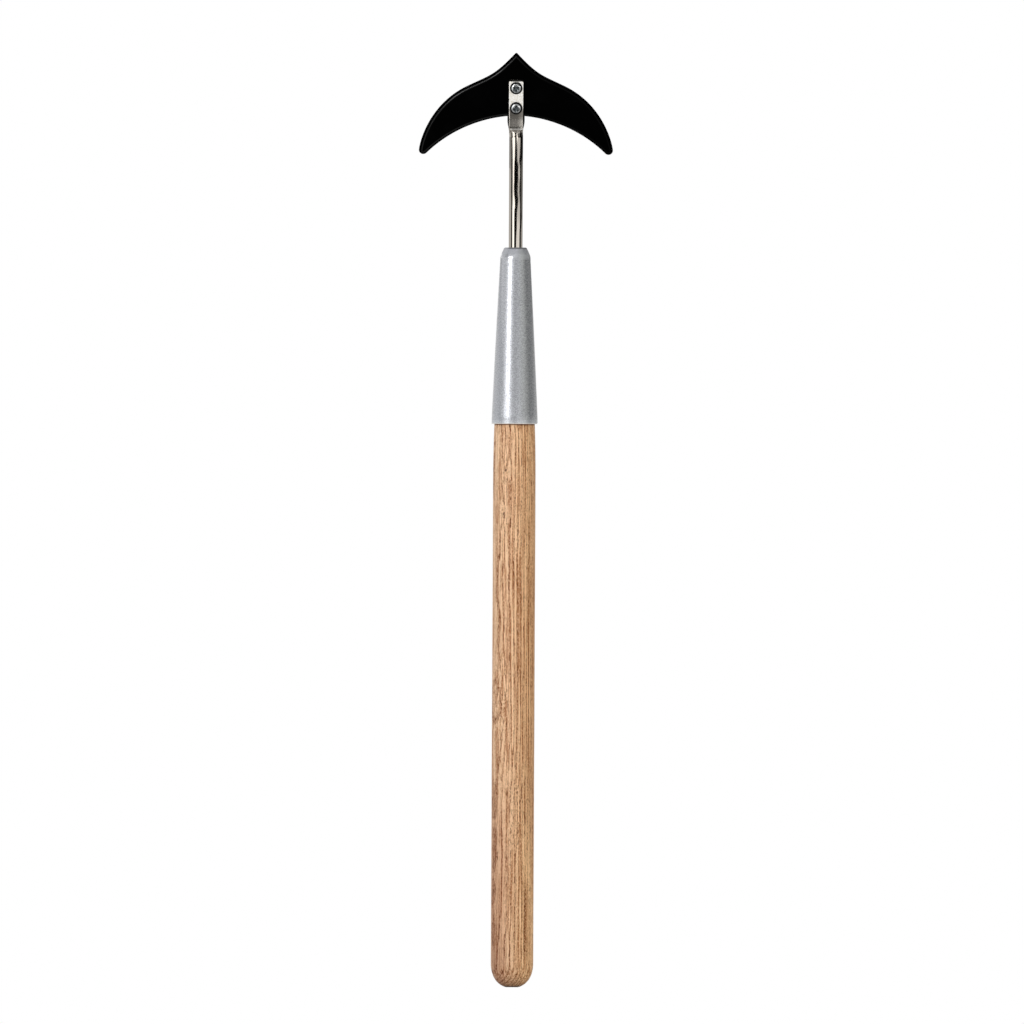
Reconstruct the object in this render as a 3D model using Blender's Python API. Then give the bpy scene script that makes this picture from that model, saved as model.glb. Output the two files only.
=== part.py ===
"""Push-pull hoe: a crescent blade screwed to a bent steel tang, set in a turned wooden handle.

Metres, +Z up. The tool stands upright on the flat of its butt, which is the origin. The blade
is at the top, and the side with the screw heads looks along -Y. Everything at the bend is
modelled in the blade's own frame: X to the right, Z along the tab towards the blade's point,
and Y through the blade, away from the screw heads.
"""
import math

import bpy
import bmesh
from mathutils import Matrix, Vector
from mathutils.geometry import interpolate_bezier

# Handle
HANDLE_LENGTH = 0.4224  # from the butt to the mouth of the ferrule
HANDLE_DIAMETER = 0.0319
NECK_LENGTH = 0.042  # where the handle narrows towards the ferrule
BUTT_DOME_LENGTH = 0.0191
BUTT_FLAT_DIAMETER = 0.009
BUTT_DOME_RISE = 0.002  # how steeply the dome leaves the flat

# Ferrule
FERRULE_LENGTH = 0.1324
FERRULE_MOUTH_DIAMETER = 0.0346
FERRULE_SHOULDER_DIAMETER = 0.0225
FERRULE_NOSE_DIAMETER = 0.0166
FERRULE_NOSE_HEIGHT = 0.0082
FERRULE_CROWN = 0.00015  # swell of the cone halfway along
FERRULE_WALL = 0.0018
FERRULE_LIP = 0.0006

# Tang: the rod and the tab pressed from its end
ROD_DIAMETER = 0.0103
ROD_ROUND_LENGTH = 0.0859  # round stretch in front of the ferrule
ROD_BURIED_LENGTH = 0.100  # from the nose of the ferrule into the wood
ROD_POINT_LENGTH = 0.004
RAMP_LENGTH = 0.0037
FLAT_LENGTH = 0.0091  # from the ramp to the bend
BEND_ANGLE = math.radians(20.0)
BEND_RADIUS = 0.020
TAB_LENGTH = 0.0281  # from the bend to the end of the tab
TAB_THICKNESS = 0.004
TAB_WIDTH = 0.0111
TAB_SHOULDER_WIDTH = 0.0129  # where the metal spread at the bend
TAB_SHOULDER_FADE = 0.0035
SHOULDER_FULLNESS = 1.4  # how early the rod reaches the spread width on its way to the bend
TAB_CORNER_RADIUS = 0.0012
TAB_EDGE_RADIUS = 0.0006

# Blade: its outline is drawn from the bend, point forwards
BLADE_WIDTH = 0.1455
BLADE_THICKNESS = 0.002
BEVEL_WIDTH = 0.002
EDGE_LAND = 0.0004
POINT_REACH = 0.0493
POINT_RADIUS = 0.0011
POINT_SLOPE = math.radians(48.4)
POINT_PULL = 0.0239
FLANK_OUT = 0.0369  # where the hollow flank turns into the round wing
FLANK_REACH = 0.0222
FLANK_SLOPE = math.radians(27.2)
FLANK_INNER_PULL = 0.0200
FLANK_OUTER_PULL = 0.0329
WING_DROP = 0.0289
WING_PULL = 0.0041
WING_TIP_RADIUS = 0.0033
REAR_EDGE_SET = 0.0013  # how far behind the bend the rear edge crosses the tang
REAR_EDGE_PULL = 0.016
REAR_TIP_PULL = 0.0327
REAR_TIP_SLOPE = math.radians(46.0)

# Fasteners
SCREW_DIAMETER = 0.005
SCREW_LENGTH = 0.014
SCREW_TIP_CHAMFER = 0.0006
SCREW_HEAD_DIAMETER = 0.0088
SCREW_HEAD_HEIGHT = 0.0031
SCREW_HEAD_SIDE = 0.0013  # upright side of the head, below its dome
LOWER_SCREW_REACH = 0.007
SCREW_SPACING = 0.016
UPPER_SCREW_TURN = math.radians(45.0)
LOWER_SCREW_TURN = math.radians(4.0)
RECESS_REACH = 0.0027
RECESS_SLOT = 0.0010
RECESS_DEPTH = 0.0018
RECESS_FLOOR_REACH = 0.0010
WASHER_RIM = 0.0018
WASHER_THICKNESS = 0.0012
WASHER_SPLIT = 0.0007
NUT_RIM = 0.0012
NUT_HEIGHT = 0.004
NUT_CHAMFER = 0.0005

# Clearances
SEAT_GAP = 0.0003  # between faces that lie on each other
HOLE_CLEARANCE = 0.0003  # round a shank in its hole
TENON_CLEARANCE = 0.0003
ROD_CLEARANCE = 0.0003
CUT_MARGIN = 0.002  # how far a cutter runs past what it cuts

# Facets
HANDLE_SIDES = 48
FERRULE_SIDES = 48
SCREW_SIDES = 24
ROD_SIDE_STEPS = 12
RAMP_STEPS = 8
BEND_STEPS = 5
CURVE_STEPS = 8
MERGE = 0.000001
CREASE = math.radians(30.0)

# Places along the handle
NOSE_HEIGHT = HANDLE_LENGTH + FERRULE_LENGTH
BEND_HEIGHT = NOSE_HEIGHT + ROD_ROUND_LENGTH + RAMP_LENGTH + FLAT_LENGTH
BLADE_FRONT = TAB_THICKNESS / 2 + SEAT_GAP
BLADE_BACK = BLADE_FRONT + BLADE_THICKNESS
WASHER_SEAT = BLADE_BACK + SEAT_GAP
NUT_SEAT = WASHER_SEAT + WASHER_THICKNESS + SEAT_GAP
HOLE_RADIUS = SCREW_DIAMETER / 2 + HOLE_CLEARANCE
SCREWS = {
    "lower": (LOWER_SCREW_REACH, LOWER_SCREW_TURN),
    "upper": (LOWER_SCREW_REACH + SCREW_SPACING, UPPER_SCREW_TURN),
}


def clear_scene():
    for obj in list(bpy.data.objects):
        bpy.data.objects.remove(obj, do_unlink=True)


def make_material(name, color, roughness, metallic=0.0):
    material = bpy.data.materials.new(name)
    material.use_nodes = True
    shader = material.node_tree.nodes["Principled BSDF"]
    shader.inputs["Base Color"].default_value = (*color, 1.0)
    shader.inputs["Roughness"].default_value = roughness
    shader.inputs["Metallic"].default_value = metallic
    material.diffuse_color = (*color, 1.0)
    return material


def add_object(name, mesh, parent=None, location=(0, 0, 0), rotation=(0, 0, 0)):
    obj = bpy.data.objects.new(name, mesh)
    bpy.context.scene.collection.objects.link(obj)
    obj.parent = parent
    obj.location = location
    obj.rotation_euler = rotation
    return obj


def add_piece(name, mesh, material, parent=None, location=(0, 0, 0), rotation=(0, 0, 0)):
    mesh.materials.append(material)
    return add_object(name, mesh, parent, location, rotation)


def add_cutter(name, mesh, parent, location=(0, 0, 0), rotation=(0, 0, 0)):
    cutter = add_object(name, mesh, parent, location, rotation)
    cutter.hide_render = True
    cutter.display_type = "WIRE"
    return cutter


def add_boolean(obj, operand, operation="DIFFERENCE"):
    modifier = obj.modifiers.new(operation.title(), "BOOLEAN")
    modifier.object = operand
    modifier.operation = operation
    modifier.solver = "EXACT"


def shade_round(mesh):
    mesh.shade_smooth()
    mesh.set_sharp_from_angle(angle=CREASE)


def cut_piece(obj):
    """Swap a piece's mesh for its cut one, so that the edges of the cuts are creased too."""
    depsgraph = bpy.context.evaluated_depsgraph_get()
    mesh = bpy.data.meshes.new_from_object(obj.evaluated_get(depsgraph))
    obj.modifiers.clear()
    obj.data = mesh
    shade_round(mesh)


def finish_mesh(bm, name):
    bmesh.ops.remove_doubles(bm, verts=bm.verts, dist=MERGE)
    bmesh.ops.recalc_face_normals(bm, faces=bm.faces)
    mesh = bpy.data.meshes.new(name)
    bm.to_mesh(mesh)
    bm.free()
    shade_round(mesh)
    return mesh


def loft_mesh(name, rings):
    """Skin a row of rings of equal point count, and close the first and last."""
    bm = bmesh.new()
    rows = [[bm.verts.new(point) for point in ring] for ring in rings]
    for lower, upper in zip(rows, rows[1:]):
        for i in range(len(lower)):
            j = (i + 1) % len(lower)
            bm.faces.new((lower[i], lower[j], upper[j], upper[i]))
    bm.faces.new(rows[0])
    bm.faces.new(reversed(rows[-1]))
    return finish_mesh(bm, name)


def turned_mesh(name, profile, sides, closed=False):
    """Spin (radius, height) points round Z, the outer side running from top to bottom."""
    bm = bmesh.new()
    points = [bm.verts.new((radius, 0, height)) for radius, height in profile]
    edges = [bm.edges.new(pair) for pair in zip(points, points[1:])]
    if closed:
        edges.append(bm.edges.new((points[-1], points[0])))
    bmesh.ops.spin(
        bm,
        geom=points + edges,
        cent=(0, 0, 0),
        axis=(0, 0, 1),
        angle=math.tau,
        steps=sides,
        use_merge=True,
    )
    return finish_mesh(bm, name)


def bezier(*points, steps=CURVE_STEPS):
    """Points on a cubic curve through the first and last of four, as (across, along) pairs."""
    curve = interpolate_bezier(*[Vector((*point, 0)) for point in points], steps + 1)
    return [(point.x, point.y) for point in curve]


def arc(center, radius, start, end, steps=CURVE_STEPS):
    angles = [start + (end - start) * i / steps for i in range(steps + 1)]
    return [
        (center[0] + radius * math.cos(a), center[1] + radius * math.sin(a)) for a in angles
    ]


def smooth(value):
    value = min(max(value, 0.0), 1.0)
    return value * value * (3 - 2 * value)


def mix(a, b, factor):
    return a + (b - a) * factor


def ferrule_radius(height):
    """Outer radius of the ferrule's cone, height above its mouth."""
    share = height / (FERRULE_LENGTH - FERRULE_NOSE_HEIGHT)
    cone = mix(FERRULE_MOUTH_DIAMETER, FERRULE_SHOULDER_DIAMETER, share) / 2
    return cone + FERRULE_CROWN * 4 * share * (1 - share)


def cone_heights(top, bottom=0.0):
    return [mix(top, bottom, i / CURVE_STEPS) for i in range(CURVE_STEPS + 1)]


def make_ferrule(material):
    shoulder = FERRULE_LENGTH - FERRULE_NOSE_HEIGHT
    nose_radius = FERRULE_NOSE_DIAMETER / 2
    shoulder_radius = FERRULE_SHOULDER_DIAMETER / 2
    hole = ROD_DIAMETER / 2 + ROD_CLEARANCE
    nose = bezier(
        (nose_radius, FERRULE_LENGTH),
        (mix(nose_radius, shoulder_radius, 0.78), mix(FERRULE_LENGTH, shoulder, 0.61)),
        (mix(nose_radius, shoulder_radius, 0.97), mix(FERRULE_LENGTH, shoulder, 0.78)),
        (shoulder_radius, shoulder),
    )
    side = [(ferrule_radius(z), z) for z in cone_heights(shoulder, FERRULE_LIP)]
    mouth = ferrule_radius(0)
    lip = arc((mouth - FERRULE_LIP, FERRULE_LIP), FERRULE_LIP, 0, -math.pi / 2, 3)
    inside = [(ferrule_radius(z) - FERRULE_WALL, z) for z in cone_heights(0.0, shoulder)]
    profile = nose + side[1:-1] + lip + inside + [(hole, shoulder), (hole, FERRULE_LENGTH)]
    mesh = turned_mesh("ferrule", profile, FERRULE_SIDES, closed=True)
    return add_piece("ferrule", mesh, material, location=(0, 0, HANDLE_LENGTH))


def make_handle(material):
    """The handle's wood: tenon inside the ferrule, neck, straight grip and domed butt."""
    radius = HANDLE_DIAMETER / 2
    inset = FERRULE_WALL + TENON_CLEARANCE
    tenon_length = FERRULE_LENGTH - FERRULE_NOSE_HEIGHT - SEAT_GAP
    tenon = [(ferrule_radius(z) - inset, HANDLE_LENGTH + z) for z in cone_heights(tenon_length)]
    neck_end = HANDLE_LENGTH - NECK_LENGTH
    neck = bezier(
        tenon[-1],
        (mix(tenon[-1][0], radius, 0.6), mix(HANDLE_LENGTH, neck_end, 0.3)),
        (radius, mix(HANDLE_LENGTH, neck_end, 0.6)),
        (radius, neck_end),
    )
    flat = BUTT_FLAT_DIAMETER / 2
    dome = bezier(
        (radius, BUTT_DOME_LENGTH),
        (radius, BUTT_DOME_RISE / 4),
        (flat + BUTT_DOME_RISE, BUTT_DOME_RISE),
        (flat, 0.0),
        steps=2 * CURVE_STEPS,
    )
    bore = ROD_DIAMETER / 2 + ROD_CLEARANCE
    bore_bottom = NOSE_HEIGHT - ROD_BURIED_LENGTH - SEAT_GAP
    hole = [(0.0, bore_bottom), (bore, bore_bottom), (bore, tenon[0][1])]
    profile = hole + tenon + neck[1:] + dome + [(0.0, 0.0)]
    return add_piece("handle", turned_mesh("handle", profile, HANDLE_SIDES), material)


def tang_width(reach):
    """Half width of the tang, by its distance past the bend: rod, spread shoulder, then tab."""
    rod, shoulder, tab = ROD_DIAMETER / 2, TAB_SHOULDER_WIDTH / 2, TAB_WIDTH / 2
    if reach < 0:
        share = (1 + reach / (RAMP_LENGTH + FLAT_LENGTH)) * SHOULDER_FULLNESS
        return mix(rod, shoulder, smooth(share))
    return mix(shoulder, tab, smooth(reach / TAB_SHOULDER_FADE))


def pressed_side(slab):
    """The round side left on a rod squeezed to a slab of this half thickness, in rod radii."""
    limit = math.asin(min(slab / (ROD_DIAMETER / 2), 1.0))
    return arc((0, 0), 1.0, -limit, limit, ROD_SIDE_STEPS)


def square_side(half_width, slab):
    """The side of the flat tab: upright, with its two edges rounded."""
    edge = TAB_EDGE_RADIUS
    steps = ROD_SIDE_STEPS // 2
    near = arc((half_width - edge, edge - slab), edge, -math.pi / 2, 0, steps)
    far = arc((half_width - edge, slab - edge), edge, 0, math.pi / 2, steps)
    return near[:-1] + [(half_width, 0.0)] + far[1:]


def tang_section(reach, slab, squareness, half_width):
    """One ring of the tang, in the plane across its path."""
    pressed = [(x * half_width, y * ROD_DIAMETER / 2) for x, y in pressed_side(slab)]
    square = square_side(half_width, slab)
    right = [
        (mix(a[0], b[0], squareness), mix(a[1], b[1], squareness))
        for a, b in zip(pressed, square)
    ]
    left = [(-x, y) for x, y in reversed(right)]
    return [along_tang(x, y, reach) for x, y in right + left]


def along_tang(across, through, reach):
    """A point beside the tang's path: straight up the rod, round the bend and along the tab."""
    tangent = BEND_RADIUS * math.tan(BEND_ANGLE / 2)
    turn = min(max((reach + tangent) / (2 * tangent), 0.0), 1.0) * BEND_ANGLE
    center = Vector((0, -BEND_RADIUS, -tangent))
    spoke = Vector((0, math.cos(turn), math.sin(turn)))
    point = center + spoke * (BEND_RADIUS + through)
    overrun = reach - min(max(reach, -tangent), tangent)
    heading = Vector((0, -math.sin(turn), math.cos(turn)))
    return point + heading * overrun + Vector((across, 0, 0))


def tang_rings():
    """Rings from the buried end to the end of the tab, each with its own shape."""
    radius, slab = ROD_DIAMETER / 2, TAB_THICKNESS / 2
    ramp_start = -(FLAT_LENGTH + RAMP_LENGTH)
    buried_end = ramp_start - ROD_ROUND_LENGTH - ROD_BURIED_LENGTH
    rings = []
    for share in (0.0, 1.0):
        reach = buried_end + share * ROD_POINT_LENGTH
        narrow = mix(0.5, 1.0, share)
        ring = tang_section(reach, radius, 0.0, radius)
        axis = along_tang(0, 0, reach)
        rings.append([axis + (point - axis) * narrow for point in ring])
    least = math.asin(slab / radius)
    for i in range(RAMP_STEPS + 1):
        squeezed = radius * math.sin(mix(math.pi / 2, least, i / RAMP_STEPS))
        reach = ramp_start + RAMP_LENGTH * (radius - squeezed) / (radius - slab)
        rings.append(tang_section(reach, squeezed, 0.0, tang_width(reach)))
    tangent = BEND_RADIUS * math.tan(BEND_ANGLE / 2)
    for i in range(1, BEND_STEPS + 1):
        reach = mix(-FLAT_LENGTH, -tangent, i / BEND_STEPS)
        rings.append(tang_section(reach, slab, smooth(i / BEND_STEPS), tang_width(reach)))
    fade_end = max(TAB_SHOULDER_FADE, tangent)
    for i in range(1, 2 * BEND_STEPS + 1):
        reach = mix(-tangent, fade_end, i / (2 * BEND_STEPS))
        rings.append(tang_section(reach, slab, 1.0, tang_width(reach)))
    for across, along in arc((0, 0), TAB_CORNER_RADIUS, 0, math.pi / 2, BEND_STEPS):
        reach = TAB_LENGTH - TAB_CORNER_RADIUS + along
        half_width = TAB_WIDTH / 2 - TAB_CORNER_RADIUS + across
        rings.append(tang_section(reach, slab, 1.0, half_width))
    return rings


def make_tang(material, head, holes):
    """Round rod and pressed tab in one skin; the ramps leave a U where they run out."""
    mesh = loft_mesh("tang", tang_rings())
    tang = add_piece("tang", mesh, material, location=head.location)
    add_boolean(tang, holes)
    return tang


def blade_half():
    """Right half of the blade's outline, from the point round the wing to the rear edge."""
    half_angle = math.pi / 2 - POINT_SLOPE
    nib_center = (0.0, POINT_REACH - POINT_RADIUS / math.sin(half_angle))
    nib = arc(nib_center, POINT_RADIUS, math.pi / 2, half_angle, 3)
    flank_step = (math.cos(FLANK_SLOPE), -math.sin(FLANK_SLOPE))
    flank = (FLANK_OUT, FLANK_REACH)
    hollow = bezier(
        nib[-1],
        (
            nib[-1][0] + POINT_PULL * math.cos(POINT_SLOPE),
            nib[-1][1] - POINT_PULL * math.sin(POINT_SLOPE),
        ),
        (flank[0] - FLANK_INNER_PULL * flank_step[0], flank[1] - FLANK_INNER_PULL * flank_step[1]),
        flank,
    )
    tip_center = (BLADE_WIDTH / 2 - WING_TIP_RADIUS, -WING_DROP)
    wing = bezier(
        flank,
        (flank[0] + FLANK_OUTER_PULL * flank_step[0], flank[1] + FLANK_OUTER_PULL * flank_step[1]),
        (BLADE_WIDTH / 2, WING_PULL - WING_DROP),
        (BLADE_WIDTH / 2, -WING_DROP),
        steps=2 * CURVE_STEPS,
    )
    tip_end = -math.pi / 2 - REAR_TIP_SLOPE
    tip = arc(tip_center, WING_TIP_RADIUS, 0.0, tip_end)
    rear = bezier(
        tip[-1],
        (
            tip[-1][0] - REAR_TIP_PULL * math.cos(REAR_TIP_SLOPE),
            tip[-1][1] + REAR_TIP_PULL * math.sin(REAR_TIP_SLOPE),
        ),
        (REAR_EDGE_PULL, -REAR_EDGE_SET),
        (0.0, -REAR_EDGE_SET),
        steps=2 * CURVE_STEPS,
    )
    return nib + hollow[1:] + wing[1:] + tip[1:] + rear[1:]


def mirrored(half):
    """A closed outline from a right half that starts and ends on the middle line."""
    return half + [(-x, z) for x, z in reversed(half[1:-1])]


def shrunk_half(half, width):
    """The half outline moved inwards, with what would pass the middle line drawn to a corner."""
    inner = []
    for i, (x, z) in enumerate(half):
        before = half[i - 1] if i else (-half[1][0], half[1][1])
        after = half[i + 1] if i + 1 < len(half) else (-half[-2][0], half[-2][1])
        heading = Vector(after) - Vector(before)
        inward = Vector((heading.y, -heading.x)).normalized()
        inner.append(Vector((x, z)) + inward * width)
    first = next(i for i, point in enumerate(inner) if i > 0 and point.x > 0)
    low, high = inner[first - 1], inner[first]
    crossing = low.lerp(high, low.x / (low.x - high.x))
    corner = Vector((0.0, crossing.y))
    inner[:first] = [corner] * first
    inner[-1].x = 0.0
    return [tuple(point) for point in inner]


def make_blade(material, head, holes):
    """Flat steel with both edges ground from the front, so that they are sharp at the back."""
    outline = blade_half()
    crown = shrunk_half(outline, BEVEL_WIDTH)
    layers = (
        (mirrored(outline), BLADE_BACK),
        (mirrored(outline), BLADE_BACK - EDGE_LAND),
        (mirrored(crown), BLADE_FRONT),
    )
    rings = [[(x, depth, z) for x, z in points] for points, depth in layers]
    blade = add_piece("blade", loft_mesh("blade", rings), material, parent=head)
    add_boolean(blade, holes)
    return blade


def make_hole_cutter(head):
    """Both screw holes as one cutter, drilled through the tab and the blade."""
    bm = bmesh.new()
    depth = TAB_THICKNESS + SEAT_GAP + BLADE_THICKNESS + 2 * CUT_MARGIN
    middle = (BLADE_BACK - TAB_THICKNESS / 2) / 2
    for reach, _ in SCREWS.values():
        place = Matrix.Translation((0, middle, reach)) @ Matrix.Rotation(math.pi / 2, 4, "X")
        bmesh.ops.create_cone(
            bm,
            cap_ends=True,
            segments=SCREW_SIDES,
            radius1=HOLE_RADIUS,
            radius2=HOLE_RADIUS,
            depth=depth,
            matrix=place,
        )
    return add_cutter("screw_holes", finish_mesh(bm, "screw_holes"), head)


def screw_mesh():
    """Pan head and shank, head upwards, with the seat of the head at zero."""
    shank, head = SCREW_DIAMETER / 2, SCREW_HEAD_DIAMETER / 2
    dome = bezier(
        (0.0, SCREW_HEAD_HEIGHT),
        (head * 0.55, SCREW_HEAD_HEIGHT),
        (head, SCREW_HEAD_HEIGHT * 0.85),
        (head, SCREW_HEAD_SIDE),
    )
    tip = [(shank, SCREW_TIP_CHAMFER - SCREW_LENGTH), (shank - SCREW_TIP_CHAMFER, -SCREW_LENGTH)]
    profile = dome + [(head, 0.0), (shank, 0.0)] + tip + [(0.0, -SCREW_LENGTH)]
    return turned_mesh("screw", profile, SCREW_SIDES)


def cross_ring(reach, slot, height):
    """Twelve points round a cross of two equal bars."""
    quarter = [(slot, slot), (slot, reach), (-slot, reach)]
    turns = [Matrix.Rotation(i * math.pi / 2, 2) for i in range(4)]
    return [(*(turn @ Vector(point)), height) for turn in turns for point in quarter]


def recess_mesh():
    """Tapered cross that cuts the driver recess into the dome."""
    top = SCREW_HEAD_HEIGHT + CUT_MARGIN
    floor = SCREW_HEAD_HEIGHT - RECESS_DEPTH
    share = (top - floor) / RECESS_DEPTH
    top_reach = mix(RECESS_FLOOR_REACH, RECESS_REACH, share)
    floor_slot = RECESS_SLOT * 0.4
    top_slot = mix(floor_slot, RECESS_SLOT / 2, share)
    rings = [cross_ring(RECESS_FLOOR_REACH, floor_slot, floor), cross_ring(top_reach, top_slot, top)]
    return loft_mesh("recess", rings)


def make_screw(name, reach, turn, material, head):
    """Screw with its head on the tab, pointing through to the nut behind the blade."""
    place = {
        "location": (0, -(TAB_THICKNESS / 2 + SEAT_GAP), reach),
        "rotation": (math.pi / 2, turn, 0),
    }
    screw = add_piece(name, screw_mesh(), material, head, **place)
    add_boolean(screw, add_cutter(name + "_recess", recess_mesh(), head, **place))
    return screw


def make_washer(name, reach, material, head):
    """Spring washer, pressed flat, with its split at the bottom."""
    outer = HOLE_RADIUS + WASHER_RIM
    half_split = math.asin(WASHER_SPLIT / 2 / outer)
    rings = []
    for i in range(SCREW_SIDES + 1):
        angle = mix(half_split, math.tau - half_split, i / SCREW_SIDES) - math.pi / 2
        spoke = Vector((math.cos(angle), 0, math.sin(angle)))
        lift = Vector((0, WASHER_THICKNESS, 0))
        inner_point, outer_point = spoke * HOLE_RADIUS, spoke * outer
        rings.append([inner_point, outer_point, outer_point + lift, inner_point + lift])
    mesh = loft_mesh(name, rings)
    return add_piece(name, mesh, material, head, location=(0, WASHER_SEAT, reach))


def make_nut(name, reach, material, head):
    """Hexagon nut: a six-sided bar cut to a turned blank with chamfered ends, then bored."""
    flat_radius = HOLE_RADIUS + NUT_RIM
    corner_radius = flat_radius / math.cos(math.pi / 6)
    place = {"location": (0, NUT_SEAT, reach), "rotation": (-math.pi / 2, 0, 0)}
    bm = bmesh.new()
    bmesh.ops.create_cone(
        bm,
        cap_ends=True,
        segments=6,
        radius1=corner_radius,
        radius2=corner_radius,
        depth=NUT_HEIGHT,
        matrix=Matrix.Translation((0, 0, NUT_HEIGHT / 2)),
    )
    nut = add_piece(name, finish_mesh(bm, name), material, head, **place)
    rim = corner_radius + NUT_CHAMFER
    slope = NUT_CHAMFER + rim - flat_radius
    blank = [
        (HOLE_RADIUS, NUT_HEIGHT),
        (flat_radius, NUT_HEIGHT),
        (rim, NUT_HEIGHT - slope * 0.5),
        (rim, slope * 0.5),
        (flat_radius, 0.0),
        (HOLE_RADIUS, 0.0),
    ]
    blank_mesh = turned_mesh(name + "_blank", blank, SCREW_SIDES, closed=True)
    add_boolean(nut, add_cutter(name + "_blank", blank_mesh, head, **place), "INTERSECT")
    return nut


def build_hoe():
    clear_scene()
    wood = make_material("wood", (0.60, 0.36, 0.20), 0.5)
    silver = make_material("silver_plastic", (0.42, 0.43, 0.45), 0.35, 0.4)
    polished = make_material("polished_steel", (0.68, 0.66, 0.63), 0.15, 1.0)
    black = make_material("black_coat", (0.008, 0.008, 0.009), 0.4)
    zinc = make_material("zinc_plate", (0.55, 0.57, 0.60), 0.3, 1.0)
    head = add_object("head_frame", None, None, (0, 0, BEND_HEIGHT), (BEND_ANGLE, 0, 0))
    bpy.context.view_layer.update()
    holes = make_hole_cutter(head)
    make_handle(wood)
    make_ferrule(silver)
    make_tang(polished, head, holes)
    make_blade(black, head, holes)
    for place, (reach, turn) in SCREWS.items():
        make_screw(place + "_screw", reach, turn, zinc, head)
        make_washer(place + "_washer", reach, zinc, head)
        make_nut(place + "_nut", reach, zinc, head)
    for obj in [obj for obj in bpy.data.objects if obj.modifiers]:
        cut_piece(obj)


build_hoe()
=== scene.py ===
"""Push-pull hoe in a white studio: wooden handle, silver sleeve, steel tang and black blade.

Metres, +Z up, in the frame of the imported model. The tool stands upright on its butt and its
screw heads look along -Y, at the camera. What sits at the bend is built in the blade's own
frame, X to the right, Z along the tab and Y through the blade, and is then moved to the bend.
"""
import math

import bmesh
import bpy
from bpy.props import FloatProperty, FloatVectorProperty, PointerProperty
from mathutils import Matrix, Vector, noise
from mathutils.geometry import interpolate_bezier


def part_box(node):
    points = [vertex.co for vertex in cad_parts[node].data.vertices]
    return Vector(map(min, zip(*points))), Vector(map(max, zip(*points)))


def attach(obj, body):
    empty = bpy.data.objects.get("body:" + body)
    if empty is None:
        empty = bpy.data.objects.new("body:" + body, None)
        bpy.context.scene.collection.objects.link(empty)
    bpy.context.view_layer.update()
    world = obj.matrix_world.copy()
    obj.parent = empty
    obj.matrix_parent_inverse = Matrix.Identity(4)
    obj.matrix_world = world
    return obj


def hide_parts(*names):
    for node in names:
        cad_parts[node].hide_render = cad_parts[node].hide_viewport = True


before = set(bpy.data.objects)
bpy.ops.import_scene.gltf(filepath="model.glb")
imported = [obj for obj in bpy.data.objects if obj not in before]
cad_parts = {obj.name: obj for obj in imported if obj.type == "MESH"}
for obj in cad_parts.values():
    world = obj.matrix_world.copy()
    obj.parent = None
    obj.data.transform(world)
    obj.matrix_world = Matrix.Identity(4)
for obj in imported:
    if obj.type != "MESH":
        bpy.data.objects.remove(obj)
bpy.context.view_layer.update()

bl_info = {
    "name": "Push-pull hoe",
    "version": (1, 0, 0),
    "blender": (4, 5, 0),
    "location": "3D View > Sidebar > Hoe",
    "description": "Builds the pieces, finishes and studio of a push-pull hoe",
    "category": "Object",
}

HANDLE_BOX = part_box("handle")
FERRULE_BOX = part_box("ferrule")
TANG_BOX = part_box("tang")
BLADE_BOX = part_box("blade")

HANDLE_LENGTH = FERRULE_BOX[0].z
NOSE_HEIGHT = FERRULE_BOX[1].z
BURIED_END = TANG_BOX[0].z

# Facets
TURNED_SIDES = 144  # round the handle and the sleeve
SCREW_SIDES = 64
SIDE_STEPS = 24  # along each half of the tang's side
CURVE_STEPS = 24
CREASE = math.radians(32.0)  # edges that turn further are shaded as edges
MERGE = 0.0000005  # points nearer to each other than this become one

MM = 1000.0  # the finishes are laid out in millimetres
WHITE = (1.0, 1.0, 1.0, 1.0)


def srgb(red, green, blue):
    """A colour given in steps of 0 to 255, as the linear numbers that a shader takes."""
    shares = (red / 255, green / 255, blue / 255)
    return tuple(s / 12.92 if s < 0.04045 else ((s + 0.055) / 1.055) ** 2.4 for s in shares)


def length(name, description, default):
    """A size in metres."""
    return FloatProperty(
        name=name, description=description, default=default, unit="LENGTH", precision=5
    )


def colour(name, description, default):
    """A colour of a finish."""
    return FloatVectorProperty(
        name=name, description=description, default=default, subtype="COLOR", min=0, max=1
    )


def power(name, description, default):
    """The power of a softbox."""
    return FloatProperty(name=name, description=description, default=default, unit="POWER")


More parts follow.
